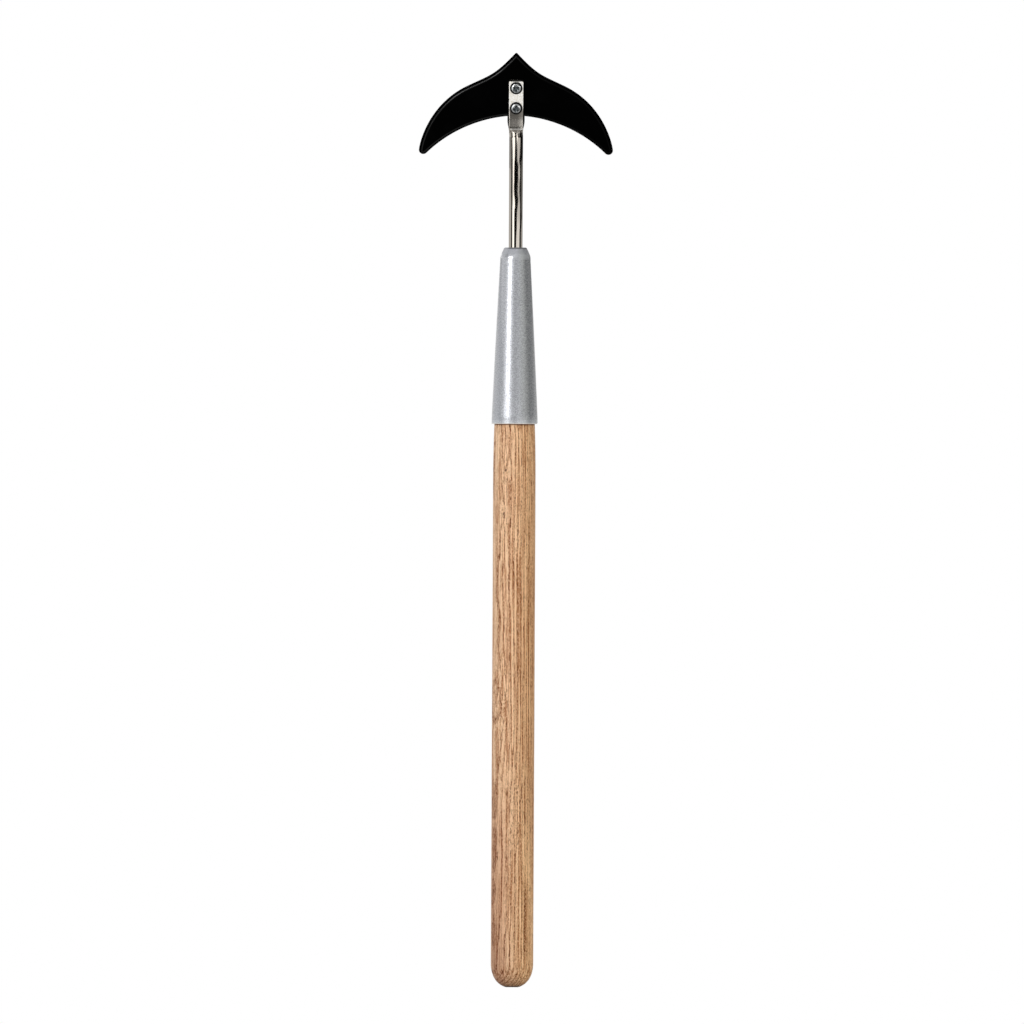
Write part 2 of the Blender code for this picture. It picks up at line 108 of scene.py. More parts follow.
class HoeSizes(bpy.types.PropertyGroup):
    """Sizes of the pieces."""

    grip: length("Grip", "Diameter of the straight grip", 2 * HANDLE_BOX[1].x)
    neck: length("Neck", "Length over which the grip narrows towards the sleeve", 0.042)
    dome: length("Butt dome", "Length of the rounded butt", 0.0185)
    flat: length("Butt flat", "Diameter of the flat that the tool stands on", 0.009)
    mouth: length("Sleeve mouth", "Diameter of the sleeve's wide end", 2 * FERRULE_BOX[1].x)
    shoulder: length("Sleeve shoulder", "Diameter where the sleeve's cone ends", 0.0228)
    nose: length("Sleeve nose", "Diameter of the sleeve's narrow end", 0.0166)
    nose_height: length("Nose height", "Height of the sleeve's rounded nose", 0.0082)
    wall: length("Sleeve wall", "Thickness of the sleeve at its mouth", 0.0018)
    rod: length("Rod", "Diameter of the tang's round stretch", 0.01036)
    bend: FloatProperty(
        name="Bend",
        description="How far the tab leans out of the rod's line",
        default=math.radians(20.0),
        subtype="ANGLE",
    )
    tab: length("Tab width", "Width of the tab behind the screws", 0.0111)
    tab_shoulder: length("Tab shoulder", "Width where the metal spread at the bend", 0.0129)
    tab_depth: length("Tab thickness", "Thickness of the pressed tab", 0.004)
    blade_width: length("Blade width", "From wing tip to wing tip", 2 * BLADE_BOX[1].x)
    blade_depth: length("Blade thickness", "Thickness of the blade's steel", 0.002)
    bevel: length("Bevel", "Width of the ground edge", 0.002)
    screw: length("Screw", "Diameter of the screws' shanks", 0.005)
    screw_head: length("Screw head", "Diameter of the screws' heads", 0.0088)
    head_height: length("Head height", "Height of the screws' heads", 0.0031)
    pitch: length("Thread pitch", "Distance between two turns of the thread", 0.0008)


class HoeColours(bpy.types.PropertyGroup):
    """Colours of the finishes."""

    wood: colour("Wood", "Most of the wood", srgb(227, 181, 138))
    wood_pale: colour("Pale wood", "Light streaks in the wood", srgb(250, 208, 167))
    wood_rosy: colour("Rosy wood", "Warm patches in the wood", srgb(208, 157, 115))
    wood_red: colour("Red wood", "Dark streaks in the wood", srgb(171, 113, 74))
    wood_dark: colour("Dark wood", "Lines of the yearly growth", srgb(150, 90, 48))
    pores: colour("Pores", "Open pores in the wood", srgb(104, 58, 26))
    knots: colour("Knots", "Hearts of the two pin knots", srgb(78, 50, 34))
    silver: colour("Silver", "Paint of the sleeve", srgb(165, 167, 172))
    steel: colour("Steel", "Polished rod", srgb(188, 181, 171))
    coat: colour("Black coat", "Coat of the blade", (0.0002, 0.0002, 0.0002))
    zinc: colour("Zinc", "Plating of the fasteners", srgb(174, 177, 178))


class HoeStudio(bpy.types.PropertyGroup):
    """Light of the studio."""

    key: power("Key light", "Power of the left softbox", 7.8)
    side: power("Side light", "Power of the softbox far left", 2.6)
    fill: power("Fill light", "Power of the right softbox", 4.0)
    top: power("Top light", "Power of the softbox overhead", 6.0)
    ambient: FloatProperty(
        name="Ambient", description="Level of the light from all round", default=0.6, min=0
    )


# Clearances
GAP = 0.0003
SNUG = 0.00003

# Handle
NECK_FULLNESS = 0.6  # how soon the neck reaches the grip's width
NECK_PULLS = (0.3, 0.6)
GRIP_WAVER = 0.00007  # how far the grip is out of true
GRIP_EASE = 0.03  # the waver grows from nothing over this length at both ends
WAVER_ROUND = 0.7  # how fast it changes round the grip
WAVER_ALONG = 14.0  # and along it, by the metre
WAVER_SET = 0.6  # draws it inwards, so that the grip keeps within its width
DOME_PULLS = (0.0065, 0.0055)  # how full the butt's dome is, beside and below
DOME_RISE = 0.26  # how steeply the dome leaves the flat

# Sleeve
RIM_LENGTH = 0.0048  # how far it is straight above its mouth
RIM_SOFTNESS = 0.0004  # how gently the rim goes over into the cone
CROWN = 0.00015  # how far the cone swells at its middle
LIP_RADIUS = 0.0006
HOLE_EDGE = 0.0004
NOSE_PULLS = ((0.78, 0.61), (0.97, 0.78))  # across and down from the nose to the shoulder
CORNER_SETS = (0.0011, 0.0003)  # where the nose's soft corner starts, and its pull
CORNER_DROP = 0.0008  # how far down the soft corner reaches
CORNER_PULL = 0.4  # how far towards its end the sharp corner is drawn
FINE_HEIGHT = 1.5 * RIM_LENGTH  # below this the sleeve is divided more finely

# Tang, its places measured from the bend
ROUND_LENGTH = 0.0859
RAMP_LENGTH = 0.0037
FLAT_LENGTH = 0.0091
BEND_RADIUS = 0.020
TAB_LENGTH = 0.0281
TAB_SHOULDER_FADE = 0.0035
SHOULDER_FULLNESS = 1.4
TAB_CORNER_RADIUS = 0.0012
TAB_EDGE_RADIUS = 0.0006
BEND_HEIGHT = NOSE_HEIGHT + ROUND_LENGTH + RAMP_LENGTH + FLAT_LENGTH
FLAT_SHARES = (0.35, 0.7, 0.93)  # where the flat faces are divided, so that they stay flat
END_TAPER = 0.004  # length over which the tang's buried end narrows
END_SHARE = 0.5  # how wide its end is against the rod
ROUND_ENDS = (0.006, 0.0004)  # how far from its ends the even rings of the rod start and stop
ROD_SET = 0.00014  # how far the rod stands to the right of the sleeve's middle
ROD_SET_FADE = 0.002  # length below the ramp over which it comes back to the middle
ROD_WAVER = 0.00006  # how far hand polishing left the rod out of true
POLISH_ROUND = 0.9  # how fast that changes round the rod
POLISH_ALONG = 0.045  # and along it, by the millimetre
CALM_LENGTH = 0.012  # how far below the ramp the rod is quite straight
CALM_FADE = 0.03

# Blade
LAND = 0.0004  # what the grinding leaves of the steel at the edge
BROKEN_EDGE = 0.00012
GROUND_START = (0.00004, 0.00003)  # where the ground face starts, inwards and forwards
BACK_RING = 0.0008  # how far inside of the outline the back's first ring lies
TIP_SPACE = 0.0002  # between the front's innermost ring and the centre of a wing's round tip
CREASE_REACH = 0.0007  # how far the crease is rounded to each side
FLAT_INSET = 9.0  # written on the flat faces, where the coat has neither wear nor the crease's painted highlight

# Screws, washers and nuts
SCREW_LENGTH = 0.014
SCREW_PLACES = {  # distance past the bend, turn of the recess
    "lower": (0.007, math.radians(4.0)),
    "upper": (0.023, math.radians(45.0)),
}
HOLE_LENGTH = 0.012
BROKEN_CORNER = 0.0002  # on the screw heads and washers
HEAD_SIDE = 0.0013  # height of the head's upright side
HEAD_PULLS = (0.55, 0.85)  # how full its dome is, across and up
THREAD_TOP = -0.0085
THREAD_RUN_OUT = 0.0006
THREAD_DEPTH = 0.00042
THREAD_STEEPNESS = 2.6
RECESS = (  # half length and half width of the cross, and its height from the head's top
    (0.0011, 0.0004, -0.0019), (0.0016, 0.0006, -0.0016), (0.0039, 0.0013, 0.001),
)
INNER_CORNER = 1.6  # where the corners between the bars are cut, in half widths
BAR_END = (0.7, 0.92)  # where a bar's rounded end starts, across and along
WASHER_WIDTH = 0.0018
WASHER_SPACE = 0.0012  # between the blade and the nut, besides the gaps
WASHER_SPLIT = 0.0007
WASHER_PITCH = 0.00004  # how far one end of the washer lies behind the other
WASHER_SIDE = (0.1, 0.9)  # where its upright sides start and end, in depths of the washer
NUT_HEIGHT = 0.004
NUT_WALL = 0.0012
CHAMFER = 0.0005
CHAMFER_SLOPE = 0.5
COUNTERSINK = 0.0004

# Painted shade on the screws, by distance from the screw's axis
RIM_SHADE = (0.0037, 0.0026)  # where it starts on the high and on the low side of the head
RECESS_SHADE = 0.0027  # inside of this it lies in the recess
RECESS_LEVEL = 0.8  # how dark it is there at least
RECESS_LIMIT = 0.003  # outside of this the recess counts no more
SHADE_FADE = 0.0004
DEEP_FADE = 0.0006  # depth in which it grows to its full darkness


def both_ways(operation):
    """An operator that adds a Math node, for a socket before it and for one behind it."""
    return (
        lambda socket, other: socket.math(operation, socket, other),
        lambda socket, other: socket.math(operation, other, socket),
    )


class Socket:
    """A socket in a node tree. Operators on sockets and numbers add Math nodes."""

    def __init__(self, nodes, socket):
        self.nodes = nodes
        self.socket = socket

    def math(self, operation, *values):
        """A Math node on sockets and numbers."""
        return self.nodes.add("ShaderNodeMath", {"operation": operation}, dict(enumerate(values)))

    __add__, __radd__ = both_ways("ADD")
    __sub__, __rsub__ = both_ways("SUBTRACT")
    __mul__, __rmul__ = both_ways("MULTIPLY")
    __truediv__, __rtruediv__ = both_ways("DIVIDE")
    __pow__, __rpow__ = both_ways("POWER")

    def above(self, low, high):
        """0 up to low and 1 from high on, smoothly in between."""
        return self.nodes.add(
            "ShaderNodeMapRange",
            {"interpolation_type": "SMOOTHSTEP"},
            {"Value": self, "From Min": low, "From Max": high},
        )

    def below(self, high, low):
        """1 down to low and 0 from high on, smoothly in between."""
        return 1 - self.above(low, high)

    def within(self, start, full, fading, end):
        """0 up to start, 1 from full to fading and 0 from end on."""
        return self.above(start, full) * self.below(end, fading)

    def fraction(self):
        """What stands behind the decimal point."""
        return self.math("FRACT", self)

    def exponent(self):
        """The number e to the power of the value."""
        return self.math("EXPONENT", self)


class Nodes:
    """Adds nodes to one tree and sets or links their sockets."""

    def __init__(self, tree):
        self.tree = tree
        self.count = 0

    def add(self, kind, settings=None, inputs=None, output=0):
        """A node of that kind, with its settings made first, and one of its outputs."""
        node = self.tree.nodes.new(kind)
        node.location = (-240 * (1 + self.count // 6), 200 - 180 * (self.count % 6))
        self.count += 1
        for name, value in (settings or {}).items():
            setattr(node, name, value)
        self.feed(node, inputs or {})
        return Socket(self, node.outputs[output])

    def feed(self, node, inputs):
        """Sets or links sockets of a node, by name or number."""
        for name, value in inputs.items():
            if isinstance(value, Socket):
                self.tree.links.new(value.socket, node.inputs[name])
            else:
                node.inputs[name].default_value = value

    def place(self):
        """The point on the piece, in millimetres of the object's frame."""
        metres = self.add("ShaderNodeTexCoord", output="Object")
        return self.scaled(metres, (MM, MM, MM))

    def scaled(self, vector, factors):
        """The vector, multiplied by a factor along each axis."""
        return self.add("ShaderNodeVectorMath", {"operation": "MULTIPLY"}, {0: vector, 1: factors})

    def shifted(self, vector, offset):
        """The vector, moved by an offset."""
        return self.add("ShaderNodeVectorMath", {"operation": "ADD"}, {0: vector, 1: offset})

    def parts(self, vector):
        """The x, y and z of a vector."""
        node = self.add("ShaderNodeSeparateXYZ", inputs={0: vector}).socket.node
        return [Socket(self, output) for output in node.outputs]

    def joined(self, x, y, z):
        """A vector from its x, y and z."""
        return self.add("ShaderNodeCombineXYZ", inputs={0: x, 1: y, 2: z})

    def grain(self, vector, factors, detail, roughness=0.5):
        """Noise from 0 to 1, with factors grains to the millimetre along each axis."""
        return self.add("ShaderNodeTexNoise", None, {
            "Vector": self.scaled(vector, factors),
            "Scale": 1.0,
            "Detail": detail,
            "Roughness": roughness,
        })

    def written(self, name):
        """The number that the mesh holds under that name."""
        return self.add("ShaderNodeAttribute", {"attribute_name": name}, output="Fac")

    def cells(self, vector, factors):
        """A shade of its own, 0 to 1, for each small cell."""
        inputs = {"Vector": self.scaled(vector, factors), "Scale": 1.0}
        shade = self.add("ShaderNodeTexVoronoi", None, inputs, output="Color")
        return self.parts(shade)[0]

    def blend(self, factor, first, second, mode="MIX"):
        """From the first colour at 0 to the second at 1."""
        return self.add(
            "ShaderNodeMix",
            {"data_type": "RGBA", "blend_type": mode},
            {0: factor, 6: rgba(first), 7: rgba(second)},
            output=2,
        )

    def layered(self, colour, layers, mode="MIX"):
        """The colour under layers of (factor, colour), the last one uppermost."""
        for factor, layer in layers:
            colour = self.blend(factor, colour, layer, mode)
        return colour

    def tinted(self, colour, tints):
        """The colour, multiplied by each (factor, tint) as far as its factor says."""
        return self.layered(colour, tints, "MULTIPLY")

    def bump(self, height, distance, strength):
        """A relief that is so many metres deep."""
        inputs = {"Strength": strength, "Distance": distance, "Height": height}
        return self.add("ShaderNodeBump", None, inputs)


def rgba(value):
    """A socket as it is, and a colour with its fourth number."""
    return value if isinstance(value, Socket) else (*value[:3], 1.0)


class Finish(Nodes):
    """A material in the making, whose nodes feed one Principled shader."""

    def __init__(self, name, shade, constants):
        self.material = bpy.data.materials.new(name)
        self.material.use_nodes = True
        self.material.diffuse_color = (*shade, 1.0)
        super().__init__(self.material.node_tree)
        self.shader = self.tree.nodes["Principled BSDF"]
        self.feed(self.shader, constants)

    def done(self, inputs):
        """The material, once its shader is fed."""
        self.feed(self.shader, inputs)
        return self.material


# In millimetres of the object's frame, as all of the finishes are
SHADOW_DROP = 0.35  # how far the painted shadow round a screw head hangs below it
PITH = (30.0, 16.0)  # where the tree's middle lay, to the right of and behind the handle
PITH_LEAN = (0.012, -0.008)
RING_WIDTH = 2.2
SLOW_GRAIN = (0.02, 0.02, 0.007)
KNOTS = (  # across, height, half width, half height, push, spot
    (-6.3, 387.9, 3.2, 9.0, 1.3, 0.85),
    (-7.9, 354.9, 3.4, 10.0, 1.5, 0.75),
    (-11.6, 214.6, 6.5, 17.0, 3.4, 0.0),
    (4.0, 130.0, 6.0, 26.0, -1.2, 0.0),
)


def knot_marks(x, z, front):
    """How far the knots push and stir the grain, their hearts, and their pale and red sides."""
    push = stir = hearts = pale_side = red_side = 0.0
    for knot_x, knot_z, half_width, half_height, shove, spot in KNOTS:
        off = (x - knot_x) / half_width
        up = (z - knot_z) / half_height
        near = (0.0 - off * off - up * up).exponent() * front
        push = near * shove + push
        stir = near + stir
        if spot:
            here = front * spot
            right, left = off - 0.8, off + 1.4
            hearts = (off * off * 16.0 + up * up * 40.0).below(1.0, 0.15) * here + hearts
            pale_side = (right * right * 2.5 + up * up).below(1.0, 0.3) * here + pale_side
            red_side = (left * left * 2.5 + up * up * 1.5).below(1.0, 0.4) * here + red_side
    return push, stir, hearts, pale_side, red_side


def wood_finish(colours):
    """Ring-porous wood whose rings lie flat on the left and stand on edge on the right."""
    finish = Finish("turned_wood", colours.wood, {"Specular IOR Level": 0.12})
    place = finish.place()
    x, y, z = finish.parts(place)
    sway = finish.grain(place, SLOW_GRAIN, 1.0)
    drift = finish.grain(finish.shifted(place, (173.0, 61.0, 37.0)), SLOW_GRAIN, 1.0)
    ripple = finish.grain(place, (0.12, 0.12, 0.045), 3.0, 0.6)
    loose = 0.25 + 0.75 * x.below(7.0, -5.0)
    across = x + ((sway - 0.5) * 5.0 + (ripple - 0.5) * 1.6) * loose
    inward = y + ((drift - 0.5) * 6.0 + (ripple - 0.5) * 1.2) * loose
    front = y.below(4.0, -4.0)
    push, stir, hearts, pale_side, red_side = knot_marks(x, z, front)
    from_pith_x = across - (z * PITH_LEAN[0] + PITH[0])
    from_pith_y = inward - (z * PITH_LEAN[1] + PITH[1])
    radius = (from_pith_x * from_pith_x + from_pith_y * from_pith_y) ** 0.5 + push
    ring = radius / RING_WIDTH
    year = finish.grain(finish.joined(ring, 0.0, z * 0.003), (0.8, 1.0, 1.0), 1.0)
    phase = (ring + (year - 0.5) * 0.9).fraction()
    early = phase.within(0.0, 0.08, 0.26, 0.42)
    along = finish.joined(across + push, inward, z)
    bands = finish.grain(along, (0.2, 0.2, 0.006), 2.0, 0.55)
    streaks = finish.grain(along, (0.6, 0.6, 0.009), 3.0, 0.65)
    fibres = finish.grain(along, (1.1, 1.1, 0.014), 2.0, 0.6)
    dashes = finish.grain(along, (1.6, 1.6, 0.16), 1.0, 0.6)
    dots = finish.grain(along, (1.6, 1.6, 0.6), 1.0, 0.6)
    pores = (dashes * 0.5 + dots * 0.5).above(0.53, 0.59)
    seam = across.within(8.3, 9.1, 9.8, 10.6) * z.within(12.0, 30.0, 66.0, 84.0) * front
    body = finish.layered(colours.wood, (
        (bands.above(0.4, 0.6), colours.wood_rosy),
        (streaks.above(0.51, 0.58) * 0.7, colours.wood_pale),
        (streaks.below(0.49, 0.41) * 0.55, colours.wood_red),
        (fibres.above(0.5, 0.56) * 0.85, colours.wood_pale),
        (fibres.below(0.48, 0.42) * 0.75, colours.wood_red),
        (early * (0.45 + 0.35 * dashes.above(0.45, 0.58)), colours.wood_dark),
        (pores * (0.3 + 0.65 * early + 0.5 * stir), colours.pores),
        (dots.below(0.45, 0.38) * 0.45, colours.wood_pale),
        (seam * (0.25 + 0.75 * dots.above(0.46, 0.56)), colours.pores),
        (pale_side * 0.6, colours.wood_pale),
        (red_side * 0.45, colours.wood_red),
        (hearts, colours.knots),
    ))
    # Warmer to the right and cooler on the left. The rest is painted light and shade: painted
    # shade low on the left, a painted darker band and a painted lighter patch on the right,
    # painted shade over the butt, most on its left and darkest underneath, and the sleeve's
    # painted shadow just below its mouth.
    body = finish.tinted(body, (
        (x.above(-4.0, 14.0), (1.0, 0.98, 0.87)),
        (x.below(-6.0, -15.0) * 0.8, (0.9, 0.94, 1.0)),
        (z.below(160.0, 110.0) * x.below(-2.0, -8.0), (0.83, 0.76, 0.75)),
        (z.within(150.0, 190.0, 290.0, 330.0) * x.above(1.0, 9.0), (0.95, 0.91, 0.88)),
        (z.below(130.0, 80.0) * x.above(1.0, 9.0), (1.1, 1.13, 1.12)),
        (z.below(60.0, 5.0) * x.below(6.0, -15.0), (0.82, 0.8, 0.82)),
        (z.below(9.0, 1.0), (0.8, 0.8, 0.8)),
        (z.below(1.5, 0.3), (0.4, 0.38, 0.35)),
        ((z - HANDLE_LENGTH * MM).above(-1.3, -0.5), (0.42, 0.36, 0.3)),
    ))
    height = fibres * 0.4 - pores * (0.3 + 0.6 * early) - early * 0.2 - hearts
    return finish.done({
        "Base Color": body,
        "Roughness": 0.46 + pores * 0.2 + (1 - fibres) * 0.12,
        "Normal": finish.bump(height, 0.00006, 0.8),
    })


def silver_finish(colours):
    """Silver paint with fine flake under a clear skin, rubbed at the nose and the mouth, with
    painted shade and painted reflections.
    """
    finish = Finish("silver_paint", colours.silver, {"Coat Roughness": 0.035, "Coat IOR": 1.5})
    light = tuple(min(1.0, c * 1.17) for c in colours.silver)
    dark = tuple(c * 0.87 for c in colours.silver)
    painted_mouth_sheen, painted_lip_glint = srgb(206, 210, 216), srgb(236, 232, 224)
    place = finish.place()
    x, y, z = finish.parts(place)
    flake = finish.cells(place, (1.8, 1.8, 1.8))
    speck = finish.grain(place, (1.1, 1.1, 1.1), 3.0, 0.7)
    cloud = finish.grain(place, (0.12, 0.12, 0.07), 2.0)
    scuff = finish.grain(place, (0.3, 0.3, 1.4), 3.0, 0.6).above(0.6, 0.8)
    shade = (flake * 0.5 + speck * 1.1 - 0.3 + (cloud - 0.5) * 0.3).above(0.1, 0.9)
    side = x / ((x * x + y * y) ** 0.5)
    from_top = z - NOSE_HEIGHT * MM
    from_mouth = z - HANDLE_LENGTH * MM
    nose = from_top.above(-4.9, -4.3)
    rubbed = from_top.above(-9.5, -8.0) * (1 - nose) * x.above(-2.0, 1.0)
    rim = from_top.above(-1.4, -0.9)
    # Painted shade over the nose, darkest at its top edge. The flake's glint is painted weaker on
    # the left flank; a warm painted reflection lies right of the middle, and painted shade runs
    # along the right edge.
    skin = finish.tinted(finish.blend(shade, dark, light), (
        (from_top.above(-5.6, -4.2), (0.82, 0.82, 0.84)),
        (rim, (0.35, 0.35, 0.36)),
    ))
    skin = finish.blend(side.below(-0.5, -0.75) * 0.8, skin, colours.silver)
    skin = finish.tinted(skin, (
        (side.above(0.1, 0.45), (0.98, 0.985, 0.935)),
        (side.above(0.55, 0.7), (0.88, 0.88, 0.9)),
    ))
    # Painted reflections: a pale band above the mouth and a bright warm line at the lip.
    skin = finish.layered(skin, (
        (from_mouth.below(3.2, 2.8) * 0.3, painted_mouth_sheen),
        (from_mouth.below(1.0, 0.5) * 0.6, painted_lip_glint),
    ))
    clear = (0.9 - scuff * 0.25) * (1 - nose * 0.75) * (1 - rubbed * 0.8) * (1 - rim)
    return finish.done({
        "Base Color": skin,
        "Metallic": 0.32 - nose * 0.25 - rubbed * 0.2 - from_mouth.below(6.5, 4.0) * 0.2,
        "Roughness": 0.24 + flake * 0.06 + (nose + rubbed) * 0.2,
        "Coat Weight": clear,
        "Normal": finish.bump(speck * 0.6 + flake * 0.4, 0.00001, 0.15),
    })


def head_shadow_reach(x, y, z, reach):
    """Distance in millimetres from just below the screw that far past the bend."""
    bend = bpy.context.scene.hoe_sizes.bend
    past = (z - BEND_HEIGHT * MM) * math.cos(bend) - y * math.sin(bend) - reach * MM
    below = past + SHADOW_DROP
    return (x * x + below * below) ** 0.5


def steel_finish(colours):
    """Polished steel, marked by the press, brushed on the tab, with painted light and shade on the
    pressed flat and a painted shadow round the heads.
    """
    finish = Finish("polished_steel", colours.steel, {
        "Metallic": 1.0,
        "Specular Tint": (0.7, 0.69, 0.67, 1.0),
    })
    bright, sheen_and_wear, streaked = srgb(252, 250, 246), srgb(238, 232, 222), srgb(222, 216, 203)
    dull, scratched, blotched = srgb(158, 153, 146), srgb(110, 106, 100), srgb(122, 117, 110)
    shaded_left, shaded_right, painted_dark = srgb(84, 81, 76), srgb(126, 121, 114), srgb(14, 13, 12)
    place = finish.place()
    x, y, z = finish.parts(place)
    from_bend = z - BEND_HEIGHT * MM
    from_flat = from_bend + FLAT_LENGTH * MM
    from_ramp = from_flat + RAMP_LENGTH * MM
    tab = from_bend.above(3.0, 8.5)
    pressed = from_flat.above(-0.3, 0.2) * (1 - tab)
    ramp = from_ramp.above(-0.6, 0.4) * (1 - pressed) * (1 - tab)
    arris = from_flat.within(-1.4, -1.1, -0.6, -0.3)
    shadow = from_flat.within(-0.5, -0.2, 0.8, 1.2)
    narrow = pressed * from_bend.below(6.0, 2.0)
    sides = x.above(5.1, 5.25) + x.below(-5.25, -5.4)
    lines = finish.grain(place, (0.1, 0.1, 1.6), 2.0, 0.6)
    brushed = finish.grain(place, (1.6, 1.6, 0.06), 3.0, 0.6)
    mottle = finish.grain(place, (0.9, 0.9, 0.9), 3.0, 0.6)
    smudge = finish.grain(place, (0.22, 0.22, 0.05), 2.0)
    # Painted shadow round each screw head on the tab, hanging below it.
    head_shadow = 0.0
    for reach, _ in SCREW_PLACES.values():
        head_shadow = head_shadow_reach(x, y, z, reach).below(4.95, 4.65) + head_shadow
    # The pressed flat is duller than the rod. Below the bend it is painted lighter to the right;
    # near the bend it carries painted shade, also lighter to the right.
    below_bend = finish.blend(x.above(0.5, 5.0), dull, sheen_and_wear)
    at_bend = finish.blend(x.above(0.5, 5.0), shaded_left, shaded_right)
    shade = finish.layered(colours.steel, (
        (pressed, finish.blend(from_bend.above(-3.5, -0.5), below_bend, at_bend)),
        (tab, finish.blend(brushed.above(0.38, 0.58), streaked, bright)),
        (pressed * lines.below(0.55, 0.35) * 0.35, scratched),
        (ramp * mottle.below(0.55, 0.4) * 0.8, blotched),
        # Painted highlight along the flat's left edge, and a painted dark line inside it.
        (narrow * x.within(-5.4, -5.25, -4.65, -4.5) * 0.6, sheen_and_wear),
        (narrow * x.within(-4.65, -4.5, -4.0, -3.8) * 0.4, painted_dark),
        # Painted shadow along the flat's lower end, and painted shade on the flat's sides.
        (shadow * x.below(4.5, 2.5) * 0.5, painted_dark),
        (narrow * sides, painted_dark),
        # Painted highlight on the arris.
        (arris * (0.8 + 0.2 * x.above(1.0, 4.0)) * x.above(-4.8, -4.2), bright),
        # The painted shadow round the screw heads.
        (head_shadow * 0.9, painted_dark),
    ))
    burr = x.within(-5.4, -4.95, -4.95, -4.5) * narrow
    relief = brushed * tab * 0.3 + mottle * ramp * 1.6 + lines * pressed * 0.4 + burr * 3.0
    return finish.done({
        "Base Color": shade,
        "Roughness": 0.018 + smudge * 0.016 + tab * 0.25 + pressed * 0.21 + ramp * 0.27,
        "Normal": finish.bump(relief, 0.00003, 0.35),
    })


def coat_finish(colours):
    """Thin satin black over rolled steel, with a dull sheen along the ground edge: more coat and a
    painted highlight on its crease, stronger on the left, and wear at the very edge.
    """
    finish = Finish("black_coat", colours.coat, {
        "Specular IOR Level": 0.004,
        "Coat Roughness": 0.14,
        "Coat IOR": 1.5,
    })
    sheen_and_wear, dim_tone = srgb(48, 47, 46), srgb(10, 10, 11)
    place = finish.place()
    inset = finish.written("inset")
    peel = finish.grain(place, (0.9, 0.9, 0.9), 3.0, 0.55)
    fine = finish.grain(place, (3.5, 3.5, 3.5), 2.0, 0.6)
    cloud = finish.grain(place, (0.05, 0.05, 0.05), 3.0, 0.6)
    leftward = finish.parts(place)[0].below(12.0, -6.0)
    crease = inset.within(1.4, 1.8, 2.3, 2.8) * (0.2 + 0.8 * leftward)
    edge = inset.below(0.5, 0.05)
    # Along the crease the lighter colour is a painted highlight, stronger on the left; at the very
    # edge it is wear.
    rubbed = crease * 0.15 * cloud.above(0.35, 0.6) + edge * 0.4 * fine.above(0.5, 0.62)
    return finish.done({
        "Base Color": finish.layered(colours.coat, (
            (cloud.above(0.5, 0.75) * 0.3 * fine, dim_tone),
            (rubbed * peel, sheen_and_wear),
        )),
        "Roughness": 0.38 + peel * 0.16,
        "Coat Weight": 0.003 + crease * (0.2 + peel * 0.15),
        "Normal": finish.bump(peel * 0.7 + fine * 0.3, 0.00004, 0.4),
    })


def zinc_finish(colours):
    """Bright zinc plate with a faintly mottled skin, painted shade in the recess and a painted
    dark rim on the head.
    """
    finish = Finish("zinc_plate", colours.zinc, {"Metallic": 1.0})
    warm, tarnished = srgb(186, 184, 180), srgb(96, 98, 94)
    dim_tone, painted_dark = srgb(36, 46, 50), srgb(20, 20, 21)
    place = finish.place()
    grime = finish.written("grime")
    mottle = finish.grain(place, (1.4, 1.4, 1.4), 3.0, 0.6)
    pits = finish.grain(place, (6.0, 6.0, 6.0), 2.0, 0.6)
    return finish.done({
        "Base Color": finish.layered(colours.zinc, (
            (mottle.above(0.45, 0.7), warm),
            (mottle.below(0.47, 0.4) * 0.6, tarnished),
            # Painted shade in the recess, darker the deeper, and a painted dark rim on the head,
            # widest on its low side.
            (grime.below(1.2, 1.0) * grime * (0.7 + mottle * 0.3), dim_tone),
            (grime.above(1.0, 1.6), painted_dark),
        )),
        "Roughness": 0.13 + mottle * 0.08 + pits * 0.04 + grime * 0.25,
        "Normal": finish.bump(pits, 0.00001, 0.4),
    })


FINISHES = {
    "wood": wood_finish,
    "silver_plastic": silver_finish,
    "polished_steel": steel_finish,
    "black_coat": coat_finish,
    "zinc_plate": zinc_finish,
}


def finish_for(slot):
    """The material of a slot, made the first time that it is asked for."""
    found = bpy.data.materials.get(slot + "_finish")
    if found:
        return found
    material = FINISHES[slot](bpy.context.scene.hoe_colours)
    material.name = slot + "_finish"
    return material


def add_object(name, data):
    """A new object in the scene, which stays at the origin."""
    obj = bpy.data.objects.new(name, data)
    bpy.context.scene.collection.objects.link(obj)
    return obj


def add_piece(name, mesh, slot, node):
    """Puts a finished mesh in place of a CAD node and has it ride with the tool."""
    mesh.materials.clear()
    mesh.materials.append(finish_for(slot))
    obj = add_object(name, mesh)
    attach(obj, "root")
    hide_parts(node)


def mix(a, b, share):
    """From a at 0 to b at 1."""
    return a + (b - a) * share


def smooth(value):
    """0 up to 0 and 1 from 1 on, smoothly in between."""
    value = min(max(value, 0.0), 1.0)
    return value * value * (3 - 2 * value)


def steps_between(first, last, count):
    """Both numbers and the steps between them, in a list."""
    return [mix(first, last, i / count) for i in range(count + 1)]


def mixed(a, b, share):
    """From the point a at 0 to the point b at 1, both of them pairs."""
    return (mix(a[0], b[0], share), mix(a[1], b[1], share))


def bezier(*points, steps=CURVE_STEPS):
    """Points on a cubic curve through the first and last of four, as (across, along) pairs."""
    curve = interpolate_bezier(*[Vector((*point, 0)) for point in points], steps + 1)
    return [(point.x, point.y) for point in curve]


def arc(center, radius, start, end, steps=CURVE_STEPS):
    """Points on an arc from one angle to another, as (across, along) pairs."""
    return [
        (center[0] + radius * math.cos(angle), center[1] + radius * math.sin(angle))
        for angle in steps_between(start, end, steps)
    ]


def shade_round(mesh):
    """Smooth shading with sharp edges where the faces turn far."""
    mesh.shade_smooth()
    mesh.set_sharp_from_angle(angle=CREASE)


